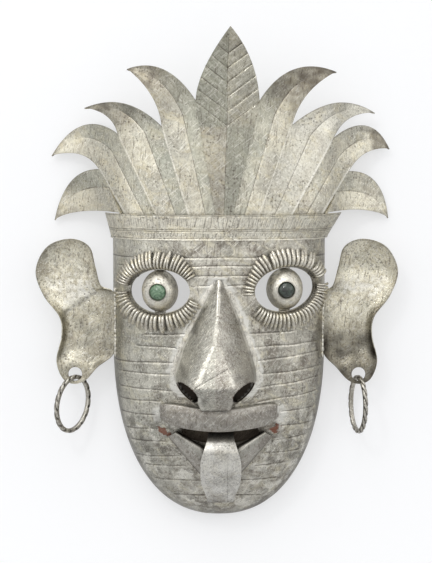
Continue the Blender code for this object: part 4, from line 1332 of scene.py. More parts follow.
@dataclass
class Nose:
    """The nose: one bent sheet with a ridge, a flat tip, wings, and nostrils cut under them."""

    apex_z: float = -22.5 * MM
    wing_z: float = -98.0 * MM
    tip_z: float = -104.0 * MM
    bottom_z: float = -122.5 * MM
    half_width: float = 31.3 * MM
    side_power: float = 1.25
    height: float = 36.0 * MM
    base_x: float = -2.8 * MM
    facet_top_z: float = -69.0 * MM
    flap_half: float = 11.2 * MM
    tip_half: float = 16.0 * MM
    flap_height: float = 17.0 * MM
    nostril: tuple[float, float] = (22.6 * MM, -109.8 * MM)
    nostril_half: tuple[float, float] = (10.2 * MM, 7.3 * MM)
    nostril_slant: float = 42.0
    flat_cells: float = 0.38
    bend_cells: float = 0.12
    bend: float = 0.125
    columns: int = 88
    rows: int = 100

    def axis(self, z: Array) -> Array:
        """Sideways place of the ridge."""
        return self.base_x * smooth((self.apex_z - z) / (self.apex_z - self.wing_z))

    def half_at(self, z: Array) -> Array:
        """Half-width where the nose meets the face.

        Args:
            z: Heights.

        Returns:
            The half-width at each height.
        """
        down = (self.apex_z + 1.2 * MM - z) / (self.apex_z - self.wing_z)
        under = np.clip(self.wing_z - z, 0.0, None) / (self.wing_z - self.bottom_z)
        upper = self.half_width * (1.0 - (1.0 - np.clip(down, 0.0, 1.0)) ** self.side_power)
        lower = self.half_width + (self.flap_half + 1.0 * MM - self.half_width) * under ** 2.2
        return np.where(down <= 1.0, upper, lower)

    def beside(self, x: Array, z: Array) -> Array:
        """How far places on the face lie from the nose's outline.

        Args:
            x: Places across.
            z: Heights.

        Returns:
            The distances, or a metre above and below the nose.
        """
        beside = (z < self.apex_z + 2.0 * MM) & (z > self.bottom_z)
        span = np.where(beside, self.half_at(np.clip(z, self.bottom_z, self.apex_z)), -1.0)
        away = np.abs(np.abs(x - self.axis(z)) - span)
        return np.where(span > 0.0, away, 1.0)

    def inside(self, x: Array, z: Array) -> Array:
        """1 on the part of the face that the nose covers."""
        covered = smooth((self.half_at(z) + 1.0 * MM - np.abs(x - self.axis(z))) / (2.0 * MM))
        return covered * (z < self.apex_z) * (z > self.bottom_z - 2.0 * MM)

    def flat_at(self, z: Array) -> Array:
        """Half-width of the flat front of the nose.

        Args:
            z: Heights.

        Returns:
            It as a share of the nose's half-width.
        """
        under = (self.tip_z - z) / (self.tip_z - self.bottom_z)
        facet = self.tip_half * np.clip((self.facet_top_z - z) / (self.facet_top_z - self.tip_z), 0.0, None)
        facet = np.where(z < self.tip_z, self.tip_half + (self.flap_half - self.tip_half) * under, facet)
        return np.clip(np.maximum(facet, 0.5 * MM) / np.maximum(self.half_at(z), 1.0 * MM), 0.03, 0.94)

    def height_at(self, out: Array, z: Array) -> Array:
        """Height off the face.

        Args:
            out: Shares of the way from the flat front to the side.
            z: Heights up the face.

        Returns:
            The height at each place.
        """
        down = (self.apex_z - z) / (self.apex_z - self.tip_z)
        under = np.clip((self.tip_z - z) / (self.tip_z - self.bottom_z), 0.0, 1.0)
        flap = np.where(z < self.tip_z, self.height + (self.flap_height - self.height) * under, self.height * down)
        wing = np.where(z < self.tip_z, self.height * (1.0 - under ** 1.5), self.height * down)
        swell = 1.15 + 0.85 * smooth(down)
        past = out / self.bend
        side = flap * np.clip(1.0 - past, 0.0, None) + wing * np.minimum(1.0, past) * (1.0 - out ** swell)
        return np.where(out <= 0.0, flap, side)

    def build(self) -> None:
        """Model and dress the nose."""
        masks: dict[str, Array] = {}
        obj, across, up = Bench.grid("nose_sheet", self.columns, self.rows)
        z = self.bottom_z + (self.apex_z - self.bottom_z) * up
        run = 2.0 * across - 1.0
        reach = np.abs(run)
        flat = self.flat_at(z)
        near = (reach - self.flat_cells) / self.bend_cells * self.bend
        out = np.where(reach < 0.5, near, self.bend + (1.0 - self.bend) * (reach - 0.5) / 0.5)
        out = np.clip(out, 0.0, 1.0)
        share = np.where(reach <= self.flat_cells, flat * reach / self.flat_cells, flat + (1.0 - flat) * out)
        x = self.axis(z) + np.copysign(share, run) * self.half_at(z)
        plain = xyz(x, 0.0, z)
        dents = wobble(plain, 11.0 * MM, 2.0)
        # A cut crosses the flat front from the low left to the high right
        slash = (z + 94.5 * MM) - 0.55 * (x + 3.0 * MM)
        scored = ridge(slash, 0.8 * MM) * (reach < 0.40)
        # Painted highlight down the edges of the flat front and the bridge
        ridge_line = ridge((reach - 0.36) * 22.0 * MM, 1.6 * MM)
        ridge_line = ridge_line + 0.35 * ridge(x - self.axis(z), 1.3 * MM) * (flat < 0.2)
        masks["score"] = np.where(reach < 0.40, slash / MM, np.copysign(SCORE_REACH, slash))
        # Dark blotches, and the right half painted darker as shade
        masks["grime"] = 0.35 * smooth((dents - 0.3) / 0.3) + 0.18 * (run > 0.0)
        masks["polish"] = np.clip((0.45 + 0.9 * dents) * ridge_line, 0.0, 0.8)
        upper = smooth((z - self.wing_z + 12.0 * MM) / (8.0 * MM))
        masks["solder"] = 0.85 * smooth((reach - 0.93 + 0.03 * dents) / 0.05) * upper
        masks["tint"] = 0.35 * (run < 0.0)
        lift = self.height_at(out, z) - 0.3 * MM * scored + 0.3 * MM * dents
        Bench.lay(obj, xyz(x, FACE.y(x, z) - FIT - lift, z))
        Bench.paint(obj, **masks)
        Bench.merge(obj)
        Bench.thicken(obj, SHEET, outward=True)
        for side in Side:
            self.drill_nostril(obj, side)
        Bench.shade(obj, 38.0)
        Bench.hang(obj, MASK_BODY, "silvered_sheet", Looks.of(NOSE_SHEET), "nose")

    def drill_nostril(self, obj: Piece, side: Side) -> None:
        """Cut one nostril.

        Args:
            obj: The nose.
            side: Side of the nostril.
        """
        upright = math.radians(90.0)
        cutter = Bench.add(
            "nostril_cutter", bpy.ops.mesh.primitive_cylinder_add, vertices=40, radius=1.0, depth=0.1,
            rotation=(upright, 0.0, 0.0))
        lean = side.value * math.radians(self.nostril_slant)
        half_x, half_z = self.nostril_half
        turned = Matrix.Translation((
            self.base_x + side.value * self.nostril[0], -FACE.depth - FIT - 0.05, self.nostril[1]))
        turned @= Matrix.Rotation(-lean, 4, "Y") @ Matrix.Diagonal((half_x, 1.0, half_z, 1.0))
        cutter.matrix_world = turned @ Matrix.Rotation(upright, 4, "X")
        Bench.turn_out(cutter)
        Bench.drill(obj, cutter)


NOSE = Nose()


@dataclass
class Lips:
    """The box-shaped upper lip and the two ridged lower lips, folded from sheet."""

    middle_x: float = 1.0 * MM
    upper_half: float = 48.0 * MM
    upper_height: float = 13.0 * MM
    upper_rise: float = 9.5 * MM
    upper_slope: float = 4.5 * MM
    upper_bow: float = 6.5 * MM
    lower_rise: float = 5.5 * MM
    # Corners of a lower lip outward from the mouth's middle: mouth, cheek, then the two under the tongue
    lower_corners: tuple[tuple[float, float], ...] = (
        (34.5 * MM, -143.2 * MM), (42.0 * MM, -148.2 * MM), (8.5 * MM, -158.5 * MM), (12.0 * MM, -185.0 * MM))

    def build_upper(self) -> None:
        """Model and dress the upper lip."""
        masks: dict[str, Array] = {}
        obj, across, up = Bench.grid("upper_lip_bar", 96, 40)
        run = 2.0 * across - 1.0
        x = self.middle_x - 1.2 * MM + self.upper_half * run
        end = 1.0 - 0.75 * np.abs(run) ** 9
        middle = 1.0 - np.abs(run) ** 1.7
        top = NOSE.bottom_z - SHEET - 1.2 * MM - self.upper_slope + self.upper_bow * (1.0 - middle)
        low = top - self.upper_height
        low, top = (top + low) / 2 - (top - low) / 2 * end, (top + low) / 2 + (top - low) / 2 * end
        knots = np.array([0.0, 0.10, 0.14, 0.50, 0.74, 0.88, 0.92, 1.0])
        shares = np.interp(up, knots, [0.12, 0.90, 0.96, 1.03, 0.98, 0.84, 0.76, 0.12])
        z = np.interp(up, knots, [-0.06, -0.02, 0.02, 0.5, 1.0, 1.0, 1.0, 1.0])
        z = low + (top - low) * z + self.upper_slope * np.clip((up - 0.74) / 0.16, 0.0, 1.0)
        shares = shares * (1.0 - 0.5 * np.abs(run) ** 9)
        dents = wobble(xyz(x, 0.0, z), 9.0 * MM, 4.0)
        masks["grime"] = 0.20 * smooth((dents - 0.1) / 0.3)
        masks["solder"] = 0.8 * smooth((np.abs(run) - 0.955 + 0.02 * dents) / 0.03)
        # Painted highlight along the top edge
        masks["polish"] = 0.35 * ridge((up - 0.90) * 14.0 * MM, 0.5 * MM)
        Bench.lay(obj, xyz(x, FACE.y(x, z) - FIT - self.upper_rise * shares - 0.2 * MM * dents, z))
        Bench.paint(obj, **masks)
        Bench.thicken(obj, SHEET)
        Bench.shade(obj, 32.0)
        Bench.hang(obj, MASK_BODY, "silvered_sheet", Looks.of(LIP_SHEET), "upper_lip")

    def build_lower(self, side: Side) -> None:
        """Model and dress one lower lip.

        Args:
            side: Side of the lip.
        """
        masks: dict[str, Array] = {}
        mouth, cheek, inner, chin = (np.array(corner) for corner in self.lower_corners)
        obj, across, up = Bench.grid(f"lower_lip_fold_{side.word}", 40, 30)
        left = cheek + (mouth - cheek) * up[:, None]
        right = chin + (inner - chin) * up[:, None]
        spot = left + (right - left) * across[:, None]
        x = self.middle_x + side.value * spot[:, 0]
        z = spot[:, 1]
        share = 0.25 + 0.75 * (1.0 - np.abs(2.0 * up - 1.0) ** 5.0)
        dents = wobble(xyz(x, 0.0, z), 8.0 * MM, 6.0)
        # Painted shade along both long edges, and a painted highlight near the mouth-side edge
        edges = np.maximum(0.9 * smooth((up - 0.86) / 0.1), 0.45 * smooth((0.10 - up) / 0.08))
        masks["grime"] = edges + 0.2 * smooth((dents - 0.15) / 0.3)
        masks["tint"] = 0.3 * (up > 0.5)
        masks["polish"] = 0.3 * ridge((up - 0.80) * 16.0 * MM, 0.8 * MM)
        Bench.lay(obj, xyz(x, FACE.y(x, z) - FIT - self.lower_rise * share - 0.15 * MM * dents, z))
        Bench.paint(obj, **masks)
        Bench.thicken(obj, 0.8 * SHEET)
        Bench.shade(obj, 32.0)
        Bench.hang(obj, MASK_BODY, "silvered_sheet", Looks.of(LIP_SHEET), f"lower_lip_{side.word}")

    def build(self) -> None:
        """Model and dress the three lips."""
        self.build_upper()
        for side in Side:
            self.build_lower(side)


@dataclass
class Tongue:
    """A strip that hangs out of the mouth over the lower lips to the chin."""

    x: float = 1.4 * MM
    half: float = 16.3 * MM
    end_half: float = 10.8 * MM
    root_half: float = 9.5 * MM
    top_z: float = -141.5 * MM
    end_z: float = -206.0 * MM
    bulge: float = 10.5 * MM
    crease_x: float = 5.5 * MM

    def build(self) -> None:
        """Model and dress the tongue."""
        masks: dict[str, Array] = {}
        obj, across, up = Bench.grid("tongue_strip", 40, 110)
        down = 1.0 - up
        z = self.top_z + (self.end_z - self.top_z) * down
        half = self.root_half + (self.half - self.root_half) * smooth(down / 0.45)
        half = half + np.where(down > 0.55, (self.end_half - self.half) * smooth((down - 0.55) / 0.45) ** 1.5, 0.0)
        share = 2.0 * across - 1.0
        x = self.x + share * half
        lift = self.bulge * smooth(down / 0.30) * (1.0 - smooth((down - 0.42) / 0.58) ** 1.2)
        lift = lift - 8.5 * MM * (1.0 - smooth(down / 0.16))
        lift = lift - 1.2 * MM * share ** 2 * smooth(down / 0.2) * (1.0 - down)
        from_crease = x - self.x - self.crease_x
        crease = ridge(from_crease, 0.8 * MM) * smooth((down - 0.45) / 0.1)
        dents = wobble(xyz(x, 0.0, z), 9.0 * MM, 9.0)
        faint = 0.50 + SCORE_REACH * smooth((0.55 - down) / 0.1)
        masks["score"] = np.copysign(np.abs(from_crease) / MM + faint, from_crease)
        # Painted shadow where the tongue goes in under the upper lip, and darker at its end on the chin
        ends = 0.75 * smooth((0.16 - down) / 0.12) + 0.3 * smooth((down - 0.93) / 0.07)
        masks["grime"] = ends + 0.10 * (1.0 + dents)
        # Painted highlight across the bend of the bulge
        masks["polish"] = 0.65 * smooth((down - 0.18) / 0.15) * smooth((0.62 - down) / 0.15) * (0.8 + 0.5 * dents)
        Bench.lay(obj, xyz(x, FACE.y(x, z) - FIT - lift - SHEET + 0.25 * MM * crease - 0.15 * MM * dents, z))
        Bench.paint(obj, **masks)
        Bench.thicken(obj, SHEET)
        Bench.shade(obj, 45.0)
        Bench.hang(obj, MASK_BODY, "silvered_sheet", Looks.of(TONGUE_SHEET), "tongue")


@dataclass
class Eye:
    """A hollow eyeball with a glass bead in its pupil hole, and two fringes of curled lashes."""

    side: Side
    ball_radius: float = 14.6 * MM
    proud: float = 9.5 * MM
    bead_radius: float = 7.8 * MM
    hole_radius: float = 6.8 * MM
    stretch: float = 1.14
    teeth: int = 26
    tooth_share: float = 0.72
    collar: float = 2.2 * MM
    rise: float = 6.2 * MM
    reach: float = 15.0 * MM
    strip: float = 0.7 * MM

    TURN = {Side.LEFT: -7.0, Side.RIGHT: 5.0}
    GLASS = {Side.LEFT: JADE_GLASS, Side.RIGHT: BOTTLE_GLASS}
    INNER_REACH = {Lid.UPPER: 9.5 * MM, Lid.LOWER: 11.2 * MM}
    ARCS = {
        (Side.LEFT, Lid.UPPER): (14.0, 152.0),
        (Side.LEFT, Lid.LOWER): (-2.0, -163.0),
        (Side.RIGHT, Lid.UPPER): (14.0, 178.0),
        (Side.RIGHT, Lid.LOWER): (-3.0, -150.0),
    }

    @property
    def opening(self) -> Opening:
        """The opening that the eye looks through."""
        return EYES[self.side]

    def aim(self) -> Matrix:
        """Place and turn of the eyeball.

        Returns:
            The matrix that puts it there, its own +Z toward the viewer.
        """
        x, z = self.opening.x, self.opening.z
        y = float(FACE.y(np.array(x), np.array(z))) - self.proud + self.ball_radius
        turn = Matrix.Rotation(math.radians(self.TURN[self.side]), 4, "Z")
        return Matrix.Translation((x, y, z)) @ turn @ Matrix.Rotation(math.radians(90.0), 4, "X")

    @property
    def front(self) -> float:
        """How far the pupil hole lies in front of the eyeball's centre."""
        return math.sqrt(self.ball_radius ** 2 - self.hole_radius ** 2)

    def build_ball(self) -> None:
        """Model and dress the eyeball."""
        ball = Bench.add(
            f"eyeball_dome_{self.side.word}", bpy.ops.mesh.primitive_uv_sphere_add, segments=64, ring_count=48,
            radius=self.ball_radius)
        for height, keep_below in ((0.0, False), (self.front, True)):
            Bench.edit(ball, lambda: bpy.ops.mesh.bisect(
                plane_co=(0.0, 0.0, height), plane_no=(0.0, 0.0, 1.0),
                clear_inner=not keep_below, clear_outer=keep_below))
        Bench.thicken(ball, SHEET)
        points = Bench.points(ball)
        out = np.hypot(points[:, 0], points[:, 1])
        share = smooth((out - self.hole_radius) / (self.ball_radius - self.hole_radius))
        points[:, 1] *= 1.0 + (self.stretch - 1.0) * share
        Bench.move(ball, points)
        ball.data.transform(self.aim())
        points = Bench.points(ball)
        dents = wobble(points, 4.0 * MM, 12.0)
        Bench.move(ball, points + 0.12 * MM * np.stack([dents, dents, dents], axis=1))
        local = (np.array(self.aim().inverted()) @ np.c_[points, np.ones(len(points))].T).T
        out = np.hypot(local[:, 0], local[:, 1])
        specks = smooth((wobble(points, 1.6 * MM, 4.0) - 0.25) / 0.2) * smooth((local[:, 1] - 1.0 * MM) / (3.0 * MM))
        edge = smooth((self.hole_radius + 1.0 * MM - out) / (1.0 * MM))
        # Painted highlight over the middle of the dome
        painted_highlight = smooth((self.ball_radius - out) / (5.0 * MM))
        Bench.paint(ball, grime=np.maximum(0.6 * edge, 0.6 * specks), polish=0.45 * painted_highlight)
        Bench.shade(ball, 50.0)
        Bench.hang(ball, MASK_BODY, "silvered_sheet", Looks.of(EYE_SHEET), f"eyeball_{self.side.word}")

    def build_bead(self) -> None:
        """Model and dress the bead, seated in the pupil hole from behind."""
        seat = self.bead_radius + 0.4 * MM
        back = self.front - SHEET - math.sqrt(seat ** 2 - self.hole_radius ** 2)
        bead = Bench.add(
            f"eye_glass_{self.side.word}", bpy.ops.mesh.primitive_uv_sphere_add, segments=48, ring_count=32,
            radius=self.bead_radius)
        Bench.edit(bead, lambda: bpy.ops.transform.resize(value=(1.0, 1.0, 0.985)))
        points = Bench.points(bead)
        Bench.move(bead, points * (1.0 + 0.012 * wobble(points, 6.0 * MM, 2.0))[:, None])
        bead.data.transform(self.aim() @ Matrix.Translation((0.0, 0.0, back)))
        Bench.shade(bead, 60.0)
        Bench.hang(bead, MASK_BODY, "green_glass", Looks.of(self.GLASS[self.side]), f"eye_bead_{self.side.word}")

    def seat(self, lid: Lid, share: float) -> tuple[Vector, Vector, Vector, float]:
        """Where a fringe stands.

        Args:
            lid: The fringe.
            share: Share of the way along it.

        Returns:
            Its point on the rim, the directions over the face and off it, and how far a tooth reaches there.
        """
        opening = self.opening
        start, end = self.ARCS[self.side, lid]
        angle = math.radians(start + (end - start) * share)
        c, s = math.cos(angle), math.sin(angle)
        half_x, half_z = opening.half_x + FIT, opening.half_z + FIT
        turn = Matrix.Rotation(math.radians(opening.slant), 2)
        spot = turn @ Vector((self.side.value * half_x * c, half_z * s))
        out = turn @ Vector((self.side.value * c / half_x, s / half_z)).normalized()
        x, z = np.array([opening.x + spot.x]), np.array([opening.z + spot.y])
        across, upward = (float(v[0]) for v in slopes(FACE.y, x, z))
        along = Vector((out.x, across * out.x + upward * out.y, out.y)).normalized()
        inner = float(smooth((-c - 0.45) / 0.45))
        reach = self.reach + (self.INNER_REACH[lid] - self.reach) * inner
        return Vector((x[0], float(FACE.y(x, z)[0]), z[0])), along, Vector(FACE.normal(x, z)[0]), reach

    def tooth(self) -> Piece:
        """Model one lash: a strip rolled hollow and curled over.

        Returns:
            The open strip, its root at the origin, reaching along +X.
        """
        obj, across, up = Bench.grid("lash_tooth", 6, 14)
        side = 2.0 * across - 1.0
        run = eased(up, [0.0, 0.02, 0.13, 0.34, 0.58, 0.82, 1.0])
        lift = eased(up, [0.10, 0.50, 0.86, 1.0, 0.93, 0.68, 0.36])
        roll = 0.16 * (1.0 - side ** 2) * smooth(3.0 * up)
        half = 0.5 * side * (1.0 + 0.55 * up) * (1.0 - 0.35 * smooth((up - 0.88) / 0.12))
        Bench.move(obj, xyz(run, half, lift + roll))
        beside = np.abs(side)
        # Painted shade at the root and along the sides of each lash, and a painted highlight along its curl
        Bench.paint(
            obj, grime=np.maximum(0.75 * smooth((0.30 - up) / 0.3), 0.55 * smooth((beside - 0.55) / 0.4)),
            polish=0.7 * ridge(up - 0.5, 0.28) * (1.0 - beside))
        Bench.edit(obj, bpy.ops.mesh.flip_normals)
        return obj

    def build_fringe(self, lid: Lid) -> None:
        """Model and dress one fringe: a collar on the rim and its curled teeth.

        Args:
            lid: The fringe.
        """
        name = f"{lid.value}_lash_fringe_{self.side.word}"
        strip, across, up = Bench.grid(name, 84, 3)
        rows = []
        for share, level in zip(across, up):
            foot, along, off, _ = self.seat(lid, float(share))
            rows.append(foot + off * (FIT + 1.15 * self.collar * float(level)) + along * (0.3 * MM * float(level)))
        Bench.lay(strip, np.array([tuple(row) for row in rows]))
        Bench.paint(strip, grime=0.35)
        Bench.thicken(strip, self.strip)
        pieces = [strip]
        model = self.tooth()
        span = self.teeth - 1 + self.tooth_share
        for number in range(self.teeth):
            share = (number + 0.5 * self.tooth_share) / span
            foot, along, off, reach = self.seat(lid, share)
            before, after = (self.seat(lid, share + step * 0.5 * self.tooth_share / span)[0] for step in (-1.0, 1.0))
            lean = noise.noise(Vector((3.1 * number, 5.0 * self.side.value, 2.0 if lid is Lid.UPPER else 9.0)))
            along = (Matrix.Rotation(0.22 * lean, 3, off) @ along).normalized()
            side = off.cross(along).normalized()
            width = max((after - before).length, 1.4 * MM) * (1.16 + 0.12 * lean)
            stretch = reach * (1.0 + 0.15 * lean)
            frame = Matrix((along * stretch, side * width, off * self.rise * (1.0 - 0.12 * lean))).transposed().to_4x4()
            frame.translation = foot + off * FIT
            copy = model.copy()
            copy.data = model.data.copy()
            bpy.context.scene.collection.objects.link(copy)
            copy.data.transform(frame)
            if frame.to_3x3().determinant() < 0.0:
                copy.data.flip_normals()
            Bench.thicken(copy, self.strip)
            pieces.append(copy)
        bpy.data.objects.remove(model)
        obj = Bench.join(name, pieces)
        Bench.shade(obj, 55.0)
        Bench.hang(obj, MASK_BODY, "silvered_sheet", Looks.of(LASH_STRIP), f"{lid.value}_lash_{self.side.word}")

    def build(self) -> None:
        """Model and dress the eye."""
        self.build_ball()
        self.build_bead()
        for lid in Lid:
            self.build_fringe(lid)


@dataclass
class Ear:
    """A dished ear soldered to the side of the face, with a hole in its lobe."""

    side: Side
    y: float = -22.0 * MM
    top_join: float = -37.0 * MM
    low_join: float = -84.0 * MM
    dish: float = 7.5 * MM
    hole: tuple[float, float] = (32.2 * MM, -102.6 * MM)
    hole_radius: float = 5.6 * MM
    spine: tuple[tuple[float, float], ...] = ((38.5 * MM, -18.0 * MM), (33.0 * MM, -94.5 * MM))
    steps: int = 12
    rings: int = 26

    OUTWARD = {Side.LEFT: 0.0, Side.RIGHT: -3.5 * MM}
    SHADE = {Side.LEFT: 1.25, Side.RIGHT: 2.7}
    CREASE = {Side.LEFT: 1.0, Side.RIGHT: 0.15}
    OUTLINE = (
        (0.0110, -0.0305), (0.0156, -0.0150), (0.0205, 0.0015), (0.0355, 0.0075), (0.0540, 0.0010),
        (0.0632, -0.0180), (0.0570, -0.0380), (0.0440, -0.0555), (0.0424, -0.0715), (0.0470, -0.0915),
        (0.0425, -0.1060), (0.0335, -0.1107), (0.0235, -0.1075), (0.0140, -0.0965),
    )

    @property
    def shift(self) -> float:
        """How far out the ear's own outline starts."""
        join = float(FACE.side_x(self.y + 2.0 * SHEET, np.array(self.top_join)))
        return join + FIT + self.OUTWARD[self.side]

    def outline(self) -> Array:
        """Closed smooth outline.

        Returns:
            Rows of places outward and upward.
        """
        heights = np.linspace(self.low_join, self.top_join, 3)
        joins = np.stack([FACE.side_x(self.y + 2.0 * SHEET, heights) + FIT, heights], axis=1)
        keys = np.concatenate([np.array(self.OUTLINE) + (self.shift, 0.0), joins])
        count = len(keys)
        points = []
        for i in range(count):
            before, start, end, after = (keys[(i + k - 1) % count] for k in range(4))
            straight = count - 3 <= i < count - 1
            for t in np.arange(self.steps) / self.steps:
                if straight:
                    points.append(start + (end - start) * t)
                    continue
                points.append(
                    start + 0.5 * t * (end - before) + t ** 2 * (before - 2.5 * start + 2.0 * end - 0.5 * after)
                    + 0.5 * t ** 3 * (3.0 * start - before - 3.0 * end + after))
        return np.array(points)

    def build(self) -> None:
        """Model and dress the ear and its solder."""
        sign = self.side.value
        outline = self.outline()
        count = len(outline)
        top, low = (np.array(end) + (self.shift, 0.0) for end in self.spine)
        hole = np.array(self.hole) + (self.shift, 0.0)
        masks: dict[str, Array] = {}
        obj, across, up = Bench.grid(f"ear_dish_{self.side.word}", count, self.rings)
        ring = 1.0 - 0.90 * up
        edge = outline[np.rint(across * count).astype(int) % count]
        share = np.clip((edge - top) @ (low - top) / np.dot(low - top, low - top), 0.0, 1.0)
        spot = top + (low - top) * share[:, None]
        spot = spot + (edge - spot) * ring[:, None]
        dish = self.dish * (1.0 - ring ** 2) * (1.0 - 0.35 * share)
        away = np.linalg.norm(spot - hole, axis=1)
        dish = dish * smooth((away - 1.1 * self.hole_radius) / (3.0 * self.hole_radius))
        points = xyz(sign * spot[:, 0], self.y + dish, spot[:, 1])
        dents = wobble(points, 10.0 * MM, 15.0 + sign)
        # A slanting crease above the flange that is bent round to meet the face, and a soft fold along the flange
        out, height = spot[:, 0] - self.shift + self.OUTWARD[self.side], spot[:, 1]
        across_crease = (out - 43.0 * MM) * 0.548 + (height + 54.0 * MM) * 0.836
        along_crease = ((43.0 * MM - out) * 0.836 + (height + 54.0 * MM) * 0.548) / (38.3 * MM)
        ends = self.CREASE[self.side] * smooth((along_crease + 0.1) / 0.3) * smooth((1.2 - along_crease) / 0.3)
        crease = ridge(across_crease, 0.9 * MM) * ends
        fold = ridge(out - 15.0 * MM, 3.0 * MM) * smooth((height + 80.0 * MM) / (10.0 * MM))
        fold = fold * smooth((-46.0 * MM - height) / (8.0 * MM))
        flecks = wobble(points, 3.2 * MM, 31.0)
        hammered = (0.35 * MM * dents + 0.16 * MM * flecks) * smooth((1.0 - ring) / 0.15)
        points[:, 1] += hammered + 0.6 * MM * crease + 0.5 * MM * fold
        under = self.CREASE[self.side] * smooth((1.0 * MM - across_crease) / (2.5 * MM))
        under = under * smooth((50.0 * MM - out) / (10.0 * MM))
        below = self.SHADE[self.side] * np.maximum(0.8 * under, smooth((-52.0 * MM - height) / (24.0 * MM)))
        points[:, 1] += 1.0 * MM * under * smooth((1.0 - ring) / 0.3)
        # Dark rim and crease; painted shade below the crease, on the lower part and by the face, with dark blotches
        masks["grime"] = np.maximum.reduce([
            0.40 * smooth((ring - 0.93) / 0.06), 0.55 * crease * (0.8 + flecks),
            0.16 * smooth((ring - 0.55) / 0.4) + 0.26 * below * (0.95 + 0.4 * dents),
            0.40 * np.minimum(below, 1.0) * smooth((dents - 0.05) / 0.3) * smooth((0.9 + flecks) / 1.2),
            0.50 * smooth((16.0 * MM - out) / (14.0 * MM)) * smooth((0.5 + dents + 0.3 * flecks) / 0.9)])
        # Painted highlight on the upper lobe and just above the crease
        painted_highlight = smooth((14.0 * MM - np.abs(height + 30.0 * MM)) / (16.0 * MM))
        painted_highlight = painted_highlight + ridge(across_crease - 6.0 * MM, 6.0 * MM) * ends
        masks["polish"] = np.clip((0.75 * painted_highlight + 0.3) * (0.6 + 0.9 * flecks), 0.0, 0.9) * (1.0 - ring ** 4)
        masks["tint"] = 0.25 * smooth((dents + 0.1) / 0.4)
        Bench.lay(obj, points)
        Bench.paint(obj, **masks)
        self.close(obj, outline)
        Bench.thicken(obj, SHEET)
        cutter = Bench.add(
            "lobe_cutter", bpy.ops.mesh.primitive_cylinder_add, vertices=48, radius=self.hole_radius, depth=0.04,
            location=(sign * hole[0], self.y, hole[1]), rotation=(math.radians(90.0), 0.0, 0.0))
        Bench.drill(obj, cutter)
        Bench.shade(obj, 50.0)
        Bench.hang(obj, MASK_BODY, "silvered_sheet", Looks.of(EAR_SHEET), f"ear_{self.side.word}")
        self.build_solder()

    def close(self, obj: Piece, outline: Array) -> None:
        """Merge the ends of the rings and fill the slit that they leave along the spine.

        Args:
            obj: The ear.
            outline: Its outline, whose edge stays open.
        """
        Bench.merge(obj)
        Bench.edit(obj, lambda: bpy.ops.mesh.select_all(action="DESELECT"))
        points = Bench.points(obj)
        rim = Bench.rim(obj)
        flat = points[rim][:, (0, 2)] * (self.side.value, 1.0)
        near = np.min(np.linalg.norm(flat[:, None, :] - outline[None, :, :], axis=2), axis=1)
        chosen = np.zeros(len(points), bool)
        chosen[rim[near > 1.0 * MM]] = True
        bpy.context.tool_settings.mesh_select_mode = (True, False, False)
        obj.data.vertices.foreach_set("select", chosen)
        Bench.pick(obj)
        bpy.ops.object.mode_set(mode="EDIT")
        bpy.ops.mesh.edge_face_add()
        bpy.ops.mesh.quads_convert_to_tris()
        bpy.ops.object.mode_set(mode="OBJECT")

    def build_solder(self) -> None:
        """Model the run of solder drops where the ear meets the face."""
        drops = []
        heights = np.linspace(self.top_join + 3.0 * MM, self.low_join - 2.0 * MM, 15)
        for number, z in enumerate(heights):
            jitter = noise.noise(Vector((2.7 * number, 4.0 + self.side.value, 0.5)))
            size = (1.5 + 0.8 * jitter) * MM
            x = float(FACE.side_x(self.y, np.array(z))) + 0.2 * MM
            drop = Bench.add("solder_drop", bpy.ops.mesh.primitive_ico_sphere_add, subdivisions=3, radius=size)
            Bench.edit(drop, lambda: bpy.ops.transform.resize(value=(0.75, 1.0, 1.7 - 0.6 * jitter)))
            drop.data.transform(Matrix.Translation((
                self.side.value * x, self.y - 0.8 * MM + 0.8 * MM * jitter, z + 1.2 * MM * jitter)))
            drops.append(drop)
        obj = Bench.join(f"ear_solder_{self.side.word}", drops)
        points = Bench.points(obj)
        lumps = np.stack([wobble(points, 2.2 * MM, seed) for seed in (1.0, 5.0, 9.0)], axis=1)
        Bench.move(obj, points + 0.35 * MM * lumps)
        Bench.shade(obj, 70.0)
        Bench.hang(obj, MASK_BODY, "dull_sheet", Looks.of(SOLDER_LEAD))


@dataclass
class NoseSolder:
    """The fillet of soft solder down both sides of the nose."""

    half: float = 3.0 * MM
    rise: float = 0.7 * MM

    def build(self) -> None:
        """Model and dress one fillet a side."""
        for side in Side:
            obj, across, up = Bench.grid(f"nose_solder_{side.word}", 10, 90)
            z = NOSE.wing_z - 6.0 * MM + (NOSE.apex_z + 1.0 * MM - NOSE.wing_z + 6.0 * MM) * up
            x = NOSE.axis(z) + side.value * (NOSE.half_at(np.minimum(z, NOSE.apex_z)) + 2.4 * MM)
            lumps = wobble(xyz(x, 0.0, z), 4.5 * MM, 20.0 + side.value)
            ends = smooth(8.0 * up) * smooth(8.0 * (1.0 - up))
            run = 2.0 * across - 1.0
            x = x + run * self.half * (0.55 + 0.45 * ends) * (1.0 + 0.45 * lumps)
            lift = self.rise * (1.0 - run ** 2) * (0.35 + 0.65 * ends) * (1.0 + 0.6 * lumps)
            Bench.lay(obj, xyz(x, FACE.y(x, z) - lift + 0.15 * MM, z))
            Bench.thicken(obj, 0.4 * MM)
            Bench.shade(obj, 70.0)
            Bench.hang(obj, MASK_BODY, "dull_sheet", Looks.of(SOLDER_LEAD))


